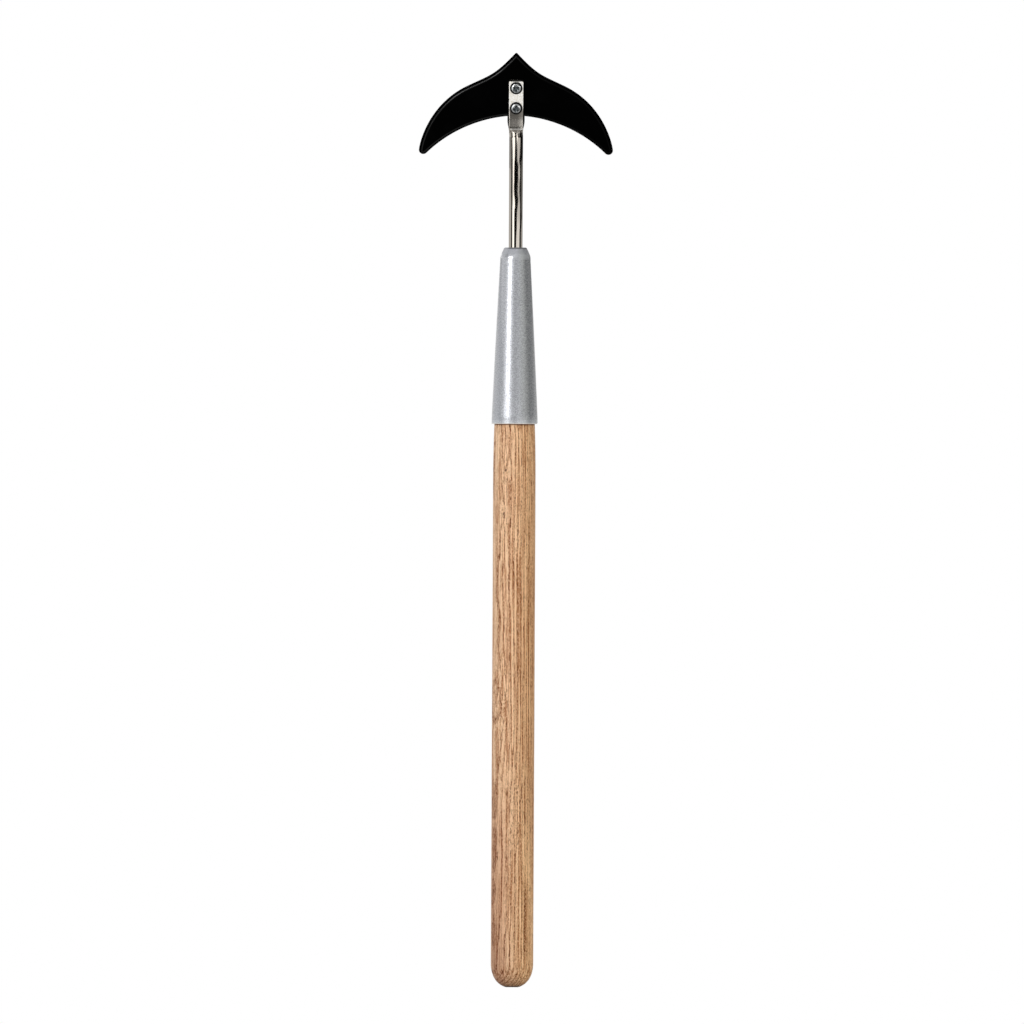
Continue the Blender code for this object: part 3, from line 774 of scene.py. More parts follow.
def meshed(name, bm):
    """The finished bmesh as a mesh."""
    mesh = bpy.data.meshes.new(name)
    bm.to_mesh(mesh)
    bm.free()
    return mesh


def skinned(name, rings, insets=None, hollow=False):
    """Skins a row of rings of equal point count, with an inset written on each if given.

    Both ends are closed. A hollow form has its last ring joined to its first instead.
    """
    bm = bmesh.new()
    layer = bm.verts.layers.float.new("inset") if insets else None
    rows = [[bm.verts.new(point) for point in ring] for ring in rings]
    for row, inset in zip(rows, insets or ()):
        for vert in row:
            vert[layer] = inset
    for lower, upper in zip(rows, rows[1:] + rows[:1] if hollow else rows[1:]):
        for i in range(len(lower)):
            j = (i + 1) % len(lower)
            bm.faces.new((lower[i], lower[j], upper[j], upper[i]))
    if not hollow:
        bm.faces.new(rows[0])
        bm.faces.new(reversed(rows[-1]))
    bmesh.ops.remove_doubles(bm, verts=bm.verts, dist=MERGE)
    bmesh.ops.recalc_face_normals(bm, faces=bm.faces)
    mesh = meshed(name, bm)
    shade_round(mesh)
    return mesh


def turned(name, profile, sides, worked=None, hollow=False):
    """A form turned round Z from (radius, height) points.

    Worked, if given, changes a radius by its angle and height.
    """
    rings = []
    for radius, height in profile:
        ring = []
        for i in range(sides):
            angle = math.tau * i / sides
            away = worked(radius, angle, height) if worked else radius
            ring.append((away * math.cos(angle), away * math.sin(angle), height))
        rings.append(ring)
    return skinned(name, rings, hollow=hollow)


def marked(mesh, name, number_at):
    """Gives each point of the mesh a number by its place, for the finish to read."""
    attribute = mesh.attributes.get(name) or mesh.attributes.new(name, "FLOAT", "POINT")
    for vert, entry in zip(mesh.vertices, attribute.data):
        entry.value = number_at(vert.co, entry.value)


def cut(mesh, operand, operation="DIFFERENCE"):
    """The mesh after an exact cut with another mesh, both of which it uses up."""
    name = mesh.name
    blank, tool = add_object(name, mesh), add_object(operand.name, operand)
    modifier = blank.modifiers.new("Cut", "BOOLEAN")
    modifier.object = tool
    modifier.operation = operation
    modifier.solver = "EXACT"
    depsgraph = bpy.context.evaluated_depsgraph_get()
    result = bpy.data.meshes.new_from_object(blank.evaluated_get(depsgraph))
    for obj, used in ((blank, mesh), (tool, operand)):
        bpy.data.objects.remove(obj)
        bpy.data.meshes.remove(used)
    if not result.polygons:
        raise RuntimeError(f"Nothing is left of {name} after its cut")
    result.name = name
    shade_round(result)
    return result


def head_matrix(sizes):
    """From the blade's own frame to the place of the bend."""
    return Matrix.Translation((0, 0, BEND_HEIGHT)) @ Matrix.Rotation(sizes.bend, 4, "X")


def at_screw(sizes, depth, reach, tip, turn=0.0):
    """From upright on the origin to a screw's place, so far behind the middle of the tab."""
    return (
        head_matrix(sizes)
        @ Matrix.Translation((0, depth, reach))
        @ Matrix.Rotation(turn, 4, "Y")
        @ Matrix.Rotation(tip, 4, "X")
    )


def cone_radius(sizes, height):
    """Outer radius of the sleeve, height above its mouth: a straight rim and then the cone."""
    cone_length = NOSE_HEIGHT - HANDLE_LENGTH - sizes.nose_height - RIM_LENGTH
    above_rim = height - RIM_LENGTH
    softened = (above_rim + math.hypot(above_rim, RIM_SOFTNESS)) / 2
    share = min(softened / cone_length, 1.0)
    return mix(sizes.mouth, sizes.shoulder, share) / 2 + CROWN * 4 * share * (1 - share) - SNUG


def build_handle(sizes):
    """Tenon in the sleeve, neck, grip a little out of true, and domed butt."""
    radius, flat = sizes.grip / 2, sizes.flat / 2
    inset = sizes.wall + GAP
    tenon_length = NOSE_HEIGHT - HANDLE_LENGTH - sizes.nose_height - GAP
    tenon = [
        (cone_radius(sizes, h) - inset, HANDLE_LENGTH + h)
        for h in steps_between(tenon_length, 0.0, 12)
    ]
    neck_end = HANDLE_LENGTH - sizes.neck
    neck = bezier(
        tenon[-1],
        (mix(tenon[-1][0], radius, NECK_FULLNESS), mix(HANDLE_LENGTH, neck_end, NECK_PULLS[0])),
        (radius, mix(HANDLE_LENGTH, neck_end, NECK_PULLS[1])),
        (radius, neck_end),
    )
    grip = [(radius, h) for h in steps_between(neck_end, sizes.dome, 90)]
    dome = bezier(
        (radius, sizes.dome),
        (radius, DOME_PULLS[0]),
        (flat + DOME_PULLS[1], DOME_PULLS[1] * DOME_RISE),
        (flat, 0.0),
        steps=2 * CURVE_STEPS,
    )
    bore = sizes.rod / 2 + GAP
    profile = [(bore, BURIED_END - GAP), (bore, tenon[0][1])]
    profile += tenon + neck[1:] + grip[1:] + dome[1:]

    def out_of_true(radius, angle, height):
        """The radius with a slow waver, but none at the sleeve and on the butt."""
        grip_share = smooth(height / GRIP_EASE) * smooth((HANDLE_LENGTH - height) / GRIP_EASE)
        spot = Vector((
            math.cos(angle) * WAVER_ROUND,
            math.sin(angle) * WAVER_ROUND,
            height * WAVER_ALONG,
        ))
        return radius + (noise.noise(spot) - WAVER_SET) * GRIP_WAVER * grip_share

    mesh = turned("handle_wood", profile, TURNED_SIDES, out_of_true)
    add_piece("handle_wood", mesh, "wood", "handle")


def build_ferrule(sizes):
    """Long cone with a rounded nose, a rolled lip and a snug hole for the rod."""
    nose_radius, shoulder_radius = sizes.nose / 2, sizes.shoulder / 2
    shoulder = NOSE_HEIGHT - sizes.nose_height
    hole = sizes.rod / 2 + ROD_SET + SNUG
    pulls = [
        (mix(nose_radius, shoulder_radius, across), mix(NOSE_HEIGHT, shoulder, down))
        for across, down in NOSE_PULLS
    ]
    nose = bezier((nose_radius, NOSE_HEIGHT), *pulls, (shoulder_radius, shoulder))
    first = next(i for i, (_, h) in enumerate(nose) if h < NOSE_HEIGHT - CORNER_DROP)
    corner = bezier(
        (nose_radius - CORNER_SETS[0], NOSE_HEIGHT),
        (nose_radius - CORNER_SETS[1], NOSE_HEIGHT),
        mixed((nose_radius, NOSE_HEIGHT), nose[first], CORNER_PULL),
        nose[first],
        steps=10,
    )
    rim = arc((hole + HOLE_EDGE, NOSE_HEIGHT - HOLE_EDGE), HOLE_EDGE, math.pi, math.pi / 2, 6)
    steps = steps_between(shoulder - HANDLE_LENGTH, FINE_HEIGHT, 40)
    steps += steps_between(FINE_HEIGHT, LIP_RADIUS, 20)[1:]
    cone = [(cone_radius(sizes, h), HANDLE_LENGTH + h) for h in steps]
    lip_center = (cone_radius(sizes, 0) - LIP_RADIUS, HANDLE_LENGTH + LIP_RADIUS)
    rolled = arc(lip_center, LIP_RADIUS, 0, -math.pi / 2, 8)
    inside = [
        (cone_radius(sizes, h) - sizes.wall, HANDLE_LENGTH + h)
        for h in steps_between(0.0, shoulder - HANDLE_LENGTH, 12)
    ]
    profile = rim + corner + nose[first + 1:] + cone[1:-1] + rolled + inside + [(hole, shoulder)]
    mesh = turned("ferrule_sleeve", profile, TURNED_SIDES, hollow=True)
    add_piece("ferrule_sleeve", mesh, "silver_plastic", "ferrule")


def tang_width(sizes, reach):
    """Half width of the tang by its distance past the bend: rod, spread shoulder, then tab."""
    if reach < 0:
        share = (1 + reach / (RAMP_LENGTH + FLAT_LENGTH)) * SHOULDER_FULLNESS
        return mix(sizes.rod, sizes.tab_shoulder, smooth(share)) / 2
    return mix(sizes.tab_shoulder, sizes.tab, smooth(reach / TAB_SHOULDER_FADE)) / 2


def along_tang(sizes, across, through, reach):
    """A point beside the tang's path: up the rod, round the bend and along the tab."""
    tangent = BEND_RADIUS * math.tan(sizes.bend / 2)
    turn = min(max((reach + tangent) / (2 * tangent), 0.0), 1.0) * sizes.bend
    center = Vector((0, -BEND_RADIUS, -tangent))
    spoke = Vector((0, math.cos(turn), math.sin(turn)))
    heading = Vector((0, -math.sin(turn), math.cos(turn)))
    overrun = reach - min(max(reach, -tangent), tangent)
    point = center + spoke * (BEND_RADIUS + through) + heading * overrun
    return point + Vector((across, 0, BEND_HEIGHT))


def tang_ring(sizes, reach, slab, squareness, half_width):
    """One ring of the tang, between the pressed round and the square edged flat."""
    radius = sizes.rod / 2
    limit = math.asin(min(slab / radius, 1.0))
    side = arc((0, 0), 1.0, -limit, limit, 2 * SIDE_STEPS)
    pressed = [(x * half_width, y * radius) for x, y in side]
    edge = TAB_EDGE_RADIUS
    near = arc((half_width - edge, edge - slab), edge, -math.pi / 2, 0, SIDE_STEPS)
    far = arc((half_width - edge, slab - edge), edge, 0, math.pi / 2, SIDE_STEPS)
    square = near[:-1] + [(half_width, 0.0)] + far[1:]
    right = [mixed(a, b, squareness) for a, b in zip(pressed, square)]
    near_flat = [(right[0][0] * share, right[0][1]) for share in FLAT_SHARES]
    far_flat = [(right[-1][0] * share, right[-1][1]) for share in reversed(FLAT_SHARES)]
    right = near_flat + right + far_flat
    left = [(-x, y) for x, y in reversed(right)]
    return [along_tang(sizes, x, y, reach) for x, y in right + left]


def hand_polished(point, reach, foot):
    """Moves a point of the round rod as hand polishing left it."""
    away = Vector((point.x, point.y, 0)).normalized()
    slow = noise.noise(Vector((
        away.x * POLISH_ROUND,
        away.y * POLISH_ROUND,
        point.z * MM * POLISH_ALONG,
    )))
    calm = smooth((foot - CALM_LENGTH - reach) / CALM_FADE)
    set_over = ROD_SET * smooth((foot - reach) / ROD_SET_FADE)
    return point + away * slow * calm * ROD_WAVER + Vector((set_over, 0, 0))


def build_tang(sizes):
    """Round rod and pressed tab in one skin; the ramps leave a U where they run out."""
    radius, slab = sizes.rod / 2, sizes.tab_depth / 2
    foot = -(FLAT_LENGTH + RAMP_LENGTH)
    buried = BURIED_END - BEND_HEIGHT
    tangent = BEND_RADIUS * math.tan(sizes.bend / 2)
    rings = []
    for share in (0.0, 0.5, 1.0):
        ring = tang_ring(sizes, buried + share * END_TAPER, radius, 0.0, radius)
        middle = sum(ring, Vector()) / len(ring)
        tapered = mix(END_SHARE, 1.0, math.sqrt(share))
        rings.append([middle + (point - middle) * tapered for point in ring])
    for reach in steps_between(buried + ROUND_ENDS[0], foot - ROUND_ENDS[1], 110):
        ring = tang_ring(sizes, reach, radius, 0.0, radius)
        rings.append([hand_polished(point, reach, foot) for point in ring])
    for angle in steps_between(math.pi / 2, math.asin(slab / radius), 20):
        squeezed = radius * math.sin(angle)
        reach = foot + RAMP_LENGTH * (radius - squeezed) / (radius - slab)
        rings.append(tang_ring(sizes, reach, squeezed, 0.0, tang_width(sizes, reach)))
    for share in steps_between(0.0, 1.0, 16)[1:]:
        reach = mix(-FLAT_LENGTH, -tangent, share)
        rings.append(tang_ring(sizes, reach, slab, smooth(share), tang_width(sizes, reach)))
    for reach in steps_between(-tangent, max(TAB_SHOULDER_FADE, tangent), 24)[1:]:
        rings.append(tang_ring(sizes, reach, slab, 1.0, tang_width(sizes, reach)))
    for across, along in arc((0, 0), TAB_CORNER_RADIUS, 0, math.pi / 2, 10):
        reach = TAB_LENGTH - TAB_CORNER_RADIUS + along
        half_width = sizes.tab / 2 - TAB_CORNER_RADIUS + across
        rings.append(tang_ring(sizes, reach, slab, 1.0, half_width))
    mesh = cut(skinned("tang_steel", rings), screw_holes(sizes))
    add_piece("tang_steel", mesh, "polished_steel", "tang")


def screw_holes(sizes):
    """Both screw holes as one form, drilled through the tab and the blade."""
    bm = bmesh.new()
    for reach, _ in SCREW_PLACES.values():
        bmesh.ops.create_cone(
            bm,
            cap_ends=True,
            segments=SCREW_SIDES,
            radius1=sizes.screw / 2 + GAP,
            radius2=sizes.screw / 2 + GAP,
            depth=HOLE_LENGTH,
            matrix=at_screw(sizes, sizes.blade_depth, reach, math.pi / 2),
        )
    return meshed("screw_holes", bm)


# Blade outline, drawn from the bend with the point forwards: its right half
POINT_REACH = 0.0493
POINT_RADIUS = 0.0011
POINT_SLOPE = math.radians(48.4)
POINT_PULL = 0.0239
FLANK = (0.0369, 0.0222)
FLANK_SLOPE = math.radians(27.2)
FLANK_PULLS = (0.0200, 0.0329)
WING_DROP = 0.0289
WING_PULL = 0.0041
WING_TIP_RADIUS = 0.0033
REAR_SET = 0.0013
REAR_PULLS = (0.0327, 0.016)
REAR_TIP_SLOPE = math.radians(46.0)


def blade_half(sizes):
    """From the point round the wing to the rear edge."""
    half_angle = math.pi / 2 - POINT_SLOPE
    nib_center = (0.0, POINT_REACH - POINT_RADIUS / math.sin(half_angle))
    nib = arc(nib_center, POINT_RADIUS, math.pi / 2, half_angle, 6)
    step = Vector((math.cos(FLANK_SLOPE), -math.sin(FLANK_SLOPE)))
    down = Vector((math.cos(POINT_SLOPE), -math.sin(POINT_SLOPE)))
    flank = Vector(FLANK)
    start = Vector(nib[-1])
    hollow = bezier(start, start + down * POINT_PULL, flank - step * FLANK_PULLS[0], flank)
    side = sizes.blade_width / 2
    wing = bezier(
        flank,
        flank + step * FLANK_PULLS[1],
        (side, WING_PULL - WING_DROP),
        (side, -WING_DROP),
        steps=2 * CURVE_STEPS,
    )
    tip = arc(
        (side - WING_TIP_RADIUS, -WING_DROP),
        WING_TIP_RADIUS,
        0.0,
        -math.pi / 2 - REAR_TIP_SLOPE,
        16,
    )
    back = Vector((-math.cos(REAR_TIP_SLOPE), math.sin(REAR_TIP_SLOPE)))
    rear = bezier(
        tip[-1],
        Vector(tip[-1]) + back * REAR_PULLS[0],
        (REAR_PULLS[1], -REAR_SET),
        (0.0, -REAR_SET),
        steps=2 * CURVE_STEPS,
    )
    return nib + hollow[1:] + wing[1:] + tip[1:] + rear[1:]


def shrunk(half, width):
    """The half outline moved inwards, with what would pass the middle line drawn to a corner."""
    inner = []
    for i, (x, z) in enumerate(half):
        before = half[i - 1] if i else (-half[1][0], half[1][1])
        after = half[i + 1] if i + 1 < len(half) else (-half[-2][0], half[-2][1])
        heading = Vector(after) - Vector(before)
        inner.append(Vector((x, z)) + Vector((heading.y, -heading.x)).normalized() * width)
    first = next(i for i, point in enumerate(inner) if i > 0 and point.x > 0)
    if inner[first - 1].x < 0:
        low, high = inner[first - 1], inner[first]
        crossing = low.lerp(high, low.x / (low.x - high.x))
        inner[:first] = [Vector((0.0, crossing.y))] * first
    inner[0].x = inner[-1].x = 0.0
    return [tuple(point) for point in inner]


def build_blade(sizes):
    """Flat steel ground from the front, with its crease and edges broken."""
    front = sizes.tab_depth / 2 + GAP
    back = front + sizes.blade_depth
    slope = math.atan2(sizes.blade_depth - LAND, sizes.bevel)
    ground = (
        sizes.bevel - CREASE_REACH * math.cos(slope),
        front + CREASE_REACH * math.sin(slope),
    )
    edge = (GROUND_START[0], back - LAND - GROUND_START[1])
    section = [
        (BACK_RING, back),
        (BROKEN_EDGE, back),
        (BROKEN_EDGE * 0.3, back - BROKEN_EDGE * 0.3),
        (0.0, back - BROKEN_EDGE),
        (0.0, back - LAND),
        *[mixed(edge, ground, share) for share in (0.0, 0.25, 0.5, 0.75)],
        *bezier(
            ground,
            (sizes.bevel, front),
            (sizes.bevel, front),
            (sizes.bevel + CREASE_REACH, front),
            steps=10,
        ),
        (WING_TIP_RADIUS - TIP_SPACE, front),
    ]
    outline = blade_half(sizes)
    rings = []
    for inset, depth in section:
        half = shrunk(outline, inset) if inset else outline
        closed = half + [(-x, z) for x, z in reversed(half[1:-1])]
        rings.append([head_matrix(sizes) @ Vector((x, depth, z)) for x, z in closed])
    insets = [FLAT_INSET] + [inset * MM for inset, _ in section[1:]]
    mesh = cut(skinned("blade_steel", rings, insets), screw_holes(sizes))
    local = head_matrix(sizes).inverted()

    def off_the_holes(point, inset):
        """The inset that was written, and that of a flat face round the holes."""
        x, _, z = local @ point
        at_hole = any(math.hypot(x, z - reach) < sizes.screw for reach, _ in SCREW_PLACES.values())
        return FLAT_INSET if at_hole else inset

    marked(mesh, "inset", off_the_holes)
    add_piece("blade_steel", mesh, "black_coat", "blade")


def cross_ring(reach, slot, height):
    """Points round a cross of two equal bars with rounded corners."""
    quarter = [
        (slot * INNER_CORNER, slot),
        (slot, slot * INNER_CORNER),
        (slot, reach * BAR_END[1]),
        (slot * BAR_END[0], reach),
        (-slot * BAR_END[0], reach),
        (-slot, reach * BAR_END[1]),
    ]
    turns = [Matrix.Rotation(i * math.pi / 2, 2) for i in range(4)]
    return [(*(turn @ Vector(point)), height) for turn in turns for point in quarter]


def screw_mesh(sizes, name, turn):
    """Pan head with a tapered cross recess, and a threaded shank."""
    shank, head, top = sizes.screw / 2, sizes.screw_head / 2, sizes.head_height
    broken = BROKEN_CORNER
    dome = bezier(
        (broken, top),
        (head * HEAD_PULLS[0], top),
        (head, top * HEAD_PULLS[1]),
        (head, HEAD_SIDE),
    )
    threads = steps_between(THREAD_TOP, -SCREW_LENGTH + THREAD_RUN_OUT, 64)
    profile = dome + [(head, broken), (head - broken, 0.0), (shank, 0.0)]
    profile += [(shank, h) for h in threads] + [(shank - THREAD_RUN_OUT, -SCREW_LENGTH)]

    down = Vector((math.sin(turn), -math.cos(turn)))

    def threaded(radius, angle, height):
        """The radius, or that of the thread where it cuts in below it."""
        if height >= THREAD_TOP:
            return radius
        turns = (height / sizes.pitch + angle / math.tau) % 1.0
        depth = THREAD_DEPTH * min(1.0, abs(turns - 0.5) * THREAD_STEEPNESS)
        return min(radius, shank - depth)

    def grime(point, _):
        """Painted shade in the recess, up to 1, and round the head, up to 2, wider on its low
        side.
        """
        away = point.xy.length
        low = 0.5 + 0.5 * point.xy.dot(down) / max(away, MERGE)
        rim = 2.0 * smooth((away - mix(*RIM_SHADE, low)) / SHADE_FADE)
        if away > RECESS_LIMIT:
            return rim
        deep = smooth((top - BROKEN_CORNER - point.z) / DEEP_FADE)
        return max(rim, deep, RECESS_LEVEL * smooth((RECESS_SHADE - away) / SHADE_FADE))

    blank = turned(name, profile, SCREW_SIDES, threaded)
    recess = skinned(name + "_recess", [
        cross_ring(reach, slot, top + height) for reach, slot, height in RECESS
    ])
    mesh = cut(blank, recess)
    marked(mesh, "grime", grime)
    return mesh


def build_screws(sizes):
    """Both screws with their heads on the tab, each turned as it was left."""
    seat = -(sizes.tab_depth / 2 + SNUG)
    for place, (reach, turn) in SCREW_PLACES.items():
        name = place + "_screw_pan"
        mesh = screw_mesh(sizes, name, turn)
        mesh.transform(at_screw(sizes, seat, reach, math.pi / 2, turn))
        add_piece(name, mesh, "zinc_plate", place + "_screw")


def washer_mesh(sizes, name, seat, depth, reach):
    """A split spring washer, wound along a shallow helix."""
    inner = sizes.screw / 2 + GAP
    outer = inner + WASHER_WIDTH
    broken = BROKEN_CORNER
    low, high = WASHER_SIDE
    section = [(inner, low), (inner + broken, 0), (outer - broken, 0), (outer, low)]
    section += [(outer, high), (outer - broken, 1), (inner + broken, 1), (inner, high)]
    half_split = math.asin(WASHER_SPLIT / 2 / outer)
    rings = []
    for angle in steps_between(half_split, math.tau - half_split, 60):
        spoke = Vector((math.sin(angle), 0, -math.cos(angle)))
        lean = (angle / math.tau - 0.5) * WASHER_PITCH
        rings.append([
            spoke * radius + Vector((0, seat + depth * share + lean, reach))
            for radius, share in section
        ])
    return skinned(name, rings)


def nut_mesh(sizes, name):
    """A six-sided bar cut to a turned blank with chamfered ends and a countersunk bore."""
    flat_radius = sizes.screw / 2 + GAP + NUT_WALL
    corner_radius = flat_radius / math.cos(math.pi / 6)
    corners = [
        (corner_radius * math.cos(math.tau * i / 6), corner_radius * math.sin(math.tau * i / 6))
        for i in range(6)
    ]
    bar = skinned(name, [[(x, y, h) for x, y in corners] for h in (0.0, NUT_HEIGHT)])
    rim = corner_radius + CHAMFER
    fall = CHAMFER_SLOPE * (CHAMFER + rim - flat_radius)
    bore = sizes.screw / 2 + SNUG
    blank = turned(name + "_blank", [
        (bore, NUT_HEIGHT - COUNTERSINK),
        (bore + COUNTERSINK, NUT_HEIGHT),
        (flat_radius, NUT_HEIGHT),
        (rim, NUT_HEIGHT - fall),
        (rim, fall),
        (flat_radius, 0.0),
        (bore + COUNTERSINK, 0.0),
        (bore, COUNTERSINK),
    ], SCREW_SIDES, hollow=True)
    return cut(bar, blank, "INTERSECT")


def build_nuts(sizes):
    """Split spring washer and chamfered hexagon nut behind each screw hole."""
    washer_seat = sizes.tab_depth / 2 + GAP + sizes.blade_depth + SNUG
    nut_seat = sizes.tab_depth / 2 + sizes.blade_depth + 3 * GAP + WASHER_SPACE
    washer_depth = nut_seat - washer_seat - SNUG
    for place, (reach, _) in SCREW_PLACES.items():
        washer = washer_mesh(sizes, place + "_washer_ring", washer_seat, washer_depth, reach)
        washer.transform(head_matrix(sizes))
        add_piece(place + "_washer_ring", washer, "zinc_plate", place + "_washer")
        nut = nut_mesh(sizes, place + "_nut_hex")
        nut.transform(at_screw(sizes, nut_seat, reach, -math.pi / 2))
        add_piece(place + "_nut_hex", nut, "zinc_plate", place + "_nut")


def seen_directly(nodes):
    """1 for what the camera sees, straight, mirrored or through glass, and 0 for lighting."""
    path = nodes.add("ShaderNodeLightPath").socket.node
    camera, glossy, through = [
        Socket(nodes, path.outputs[name])
        for name in ("Is Camera Ray", "Is Glossy Ray", "Is Transmission Ray")
    ]
    return camera.math("MAXIMUM", camera.math("MAXIMUM", camera, glossy), through)


def build_world(studio):
    """White where it is seen, and the ambient light elsewhere."""
    world = bpy.data.worlds.new("studio")
    bpy.context.scene.world = world
    world.use_nodes = True
    nodes = Nodes(world.node_tree)
    nodes.feed(world.node_tree.nodes["Background"], {
        "Color": WHITE,
        "Strength": seen_directly(nodes) * (1.0 - studio.ambient) + studio.ambient,
    })


FLOOR_HALF_SIZE = 6.0
FLOOR_DROP = 0.0001  # below the butt
FLOOR_FADE = (500.0, 1800.0)  # where the shadow ends and where all is white, in millimetres
FLOOR_LIGHTING = (0.62, 0.62, 0.62)  # its colour where it only throws light back
FLOOR_SEEN = (0.86, 0.86, 0.86)
FLOOR_GLOW = 0.55  # share of plain white in it near the tool


def build_floor():
    """Pale floor that keeps the shadow near the tool and runs into the white far from it."""
    half = FLOOR_HALF_SIZE
    corners = ((-half, -half), (half, -half), (half, half), (-half, half))
    mesh = bpy.data.meshes.new("floor")
    mesh.from_pydata([(x, y, -FLOOR_DROP) for x, y in corners], [], [(0, 1, 2, 3)])
    floor = add_object("floor", mesh)
    material = bpy.data.materials.new("floor_paper")
    material.use_nodes = True
    nodes = Nodes(material.node_tree)
    paper = material.node_tree.nodes["Principled BSDF"]
    seen = seen_directly(nodes)
    nodes.feed(paper, {
        "Base Color": nodes.blend(seen, FLOOR_LIGHTING, FLOOR_SEEN),
        "Roughness": 1.0,
        "Specular IOR Level": 0.0,
    })
    x, y, _ = nodes.parts(nodes.place())
    far = ((x * x + y * y) ** 0.5).above(*FLOOR_FADE)
    mixed_shader = nodes.add("ShaderNodeMixShader", None, {
        0: seen * (FLOOR_GLOW + far * (1.0 - FLOOR_GLOW)),
        1: Socket(nodes, paper.outputs[0]),
        2: nodes.add("ShaderNodeEmission", None, {"Color": WHITE, "Strength": 1.0}),
    })
    nodes.feed(material.node_tree.nodes["Material Output"], {"Surface": mixed_shader})
    mesh.materials.append(material)


# Standing cards that only metal mirrors. Each is a shade and a strip of (height, first azimuth,
# last azimuth), in degrees from the camera's side with the left negative. Each stands a little
# nearer than the one before, so their order, steps and panes decide which hides which.
CARDS = {
    "front_card": (0.004, (
        (-0.2, -28, 7), (0.557, -28, 8), (0.5604, -28, 11), (0.5642, -28, 16),
        (0.5679, -27, 18), (0.5754, -25, 19), (0.5829, -11, 25), (0.5904, -15, 33),
        (0.598, -23, 37), (0.6054, -40, 46), (0.6129, -33, 27), (0.6204, -25, 19),
        (0.6279, -23, 25), (0.6317, -16, 23), (0.6345, -17, 15), (0.637, -19, 11),
        (0.643, -19, 8), (0.656, -16, 7),
    )),
    "strip_card": (2.4, (
        (-0.2, -58, -28), (0.5679, -57, -27), (0.5754, -57, -25), (0.5829, -51, -11),
        (0.5904, -46, -15), (0.598, -48, -23), (0.6054, -48, -40), (0.6129, -46, -33),
        (0.6204, -50, -25), (0.6279, -52, -23), (0.6317, -59, -16), (0.637, -59, -19),
        (0.640, -70, -19), (0.656, -88, -16),
    )),
    "warm_card": (1.35, (
        (-0.2, 7, 72), (0.557, 8, 72), (0.5604, 11, 72), (0.5642, 16, 72), (0.5735, 19, 72),
    )),
    "ramp_card": (2.2, ((0.6335, 12, 16), (0.637, 9, 30), (0.656, 7, 34))),
    "left_rear_card": (0.82, ((-0.2, -165, -86), (3.0, -165, -86))),
    "left_upper_card": (0.43, ((0.615, -180, -86), (0.647, -180, -86))),
    "left_card": (0.07, (
        (-0.2, -88, -61), (0.592, -88, -61), (0.604, -98, -60), (0.628, -102, -60),
        (0.634, -100, -70), (0.637, -98, -75), (0.647, -98, -75), (0.6472, -88, -62),
        (3.0, -88, -62),
    )),
    "right_rear_card": (0.45, ((-0.2, 90, 165), (3.0, 90, 165))),
    "right_lower_card": (0.62, ((-0.2, 90, 165), (0.58, 90, 165))),
    "right_upper_card": (0.28, ((0.59, 90, 165), (0.647, 90, 165))),
    "right_card": (0.004, (
        (-0.2, 64, 98), (0.5634, 64, 98), (0.5679, 70, 106), (0.5754, 72, 112), (0.5829, 72, 119),
        (0.5904, 73, 121), (0.598, 72, 118), (0.6054, 67, 116), (0.6129, 52, 117),
        (0.6204, 54, 121), (0.6279, 64, 180), (0.6317, 76, 180), (0.647, 76, 180),
        (0.6472, 68, 108), (3.0, 68, 108),
    )),
    "flat_card": (1.5, ((0.656, -27, 30), (0.7, -27, 30))),
    "flat_left_card": (0.004, ((0.647, -184, -84), (0.7, -184, -84))),
    "flat_right_card": (0.004, ((0.647, 30, 184), (0.7, 30, 184))),
    "sleeve_left_card": (1.35, ((0.7, -165, -48), (1.2, -165, -48))),
    "sleeve_card": (0.4, ((0.7, -48, 64), (1.2, -48, 64))),
    "sleeve_right_card": (0.004, ((0.7, 64, 108), (1.2, 64, 108))),
    "sleeve_rear_card": (0.15, ((0.7, 108, 165), (1.2, 108, 165))),
    "lip_card": (0.4, ((0.39, -60, 64), (0.45, -60, 64))),
    "key_card": (17.0, ((0.72, -48, -24), (1.8, -48, -24))),
    "sleeve_middle_card": (0.25, ((0.7, 14, 64), (1.2, 14, 64))),
    "screw_left_card": (4.5, ((-0.3, -50, -18), (0.33, -50, -18))),
    "screw_right_card": (4.5, ((-0.3, 18, 50), (0.33, 18, 50))),
}
CARD_DISTANCE = 3.0
CARD_STEP = 0.004
CARD_PANES = 8  # flat panes to a card, side by side

# Cards on the floor, for the metal to mirror when it is seen from above: shade, azimuths
FLOOR_CARDS = {
    "floor_left_rear_card": (0.5, -165, -88),
    "floor_left_card": (0.07, -88, -60),
    "floor_strip_card": (2.4, -58, -28),
    "floor_front_card": (0.004, -28, -16),
    "floor_right_card": (0.004, 62, 98),
    "floor_right_rear_card": (0.4, 98, 150),
    "floor_rear_card": (0.03, 176, 192),
}
FLOOR_CARD_REACH = (0.95, 2.9)
FLOOR_CARD_HEIGHT = 0.001


def ray(azimuth, distance, height):
    """The point at that azimuth in degrees, distance from the tool's axis and height."""
    turn = math.radians(azimuth)
    return (math.sin(turn) * distance, -math.cos(turn) * distance, height)


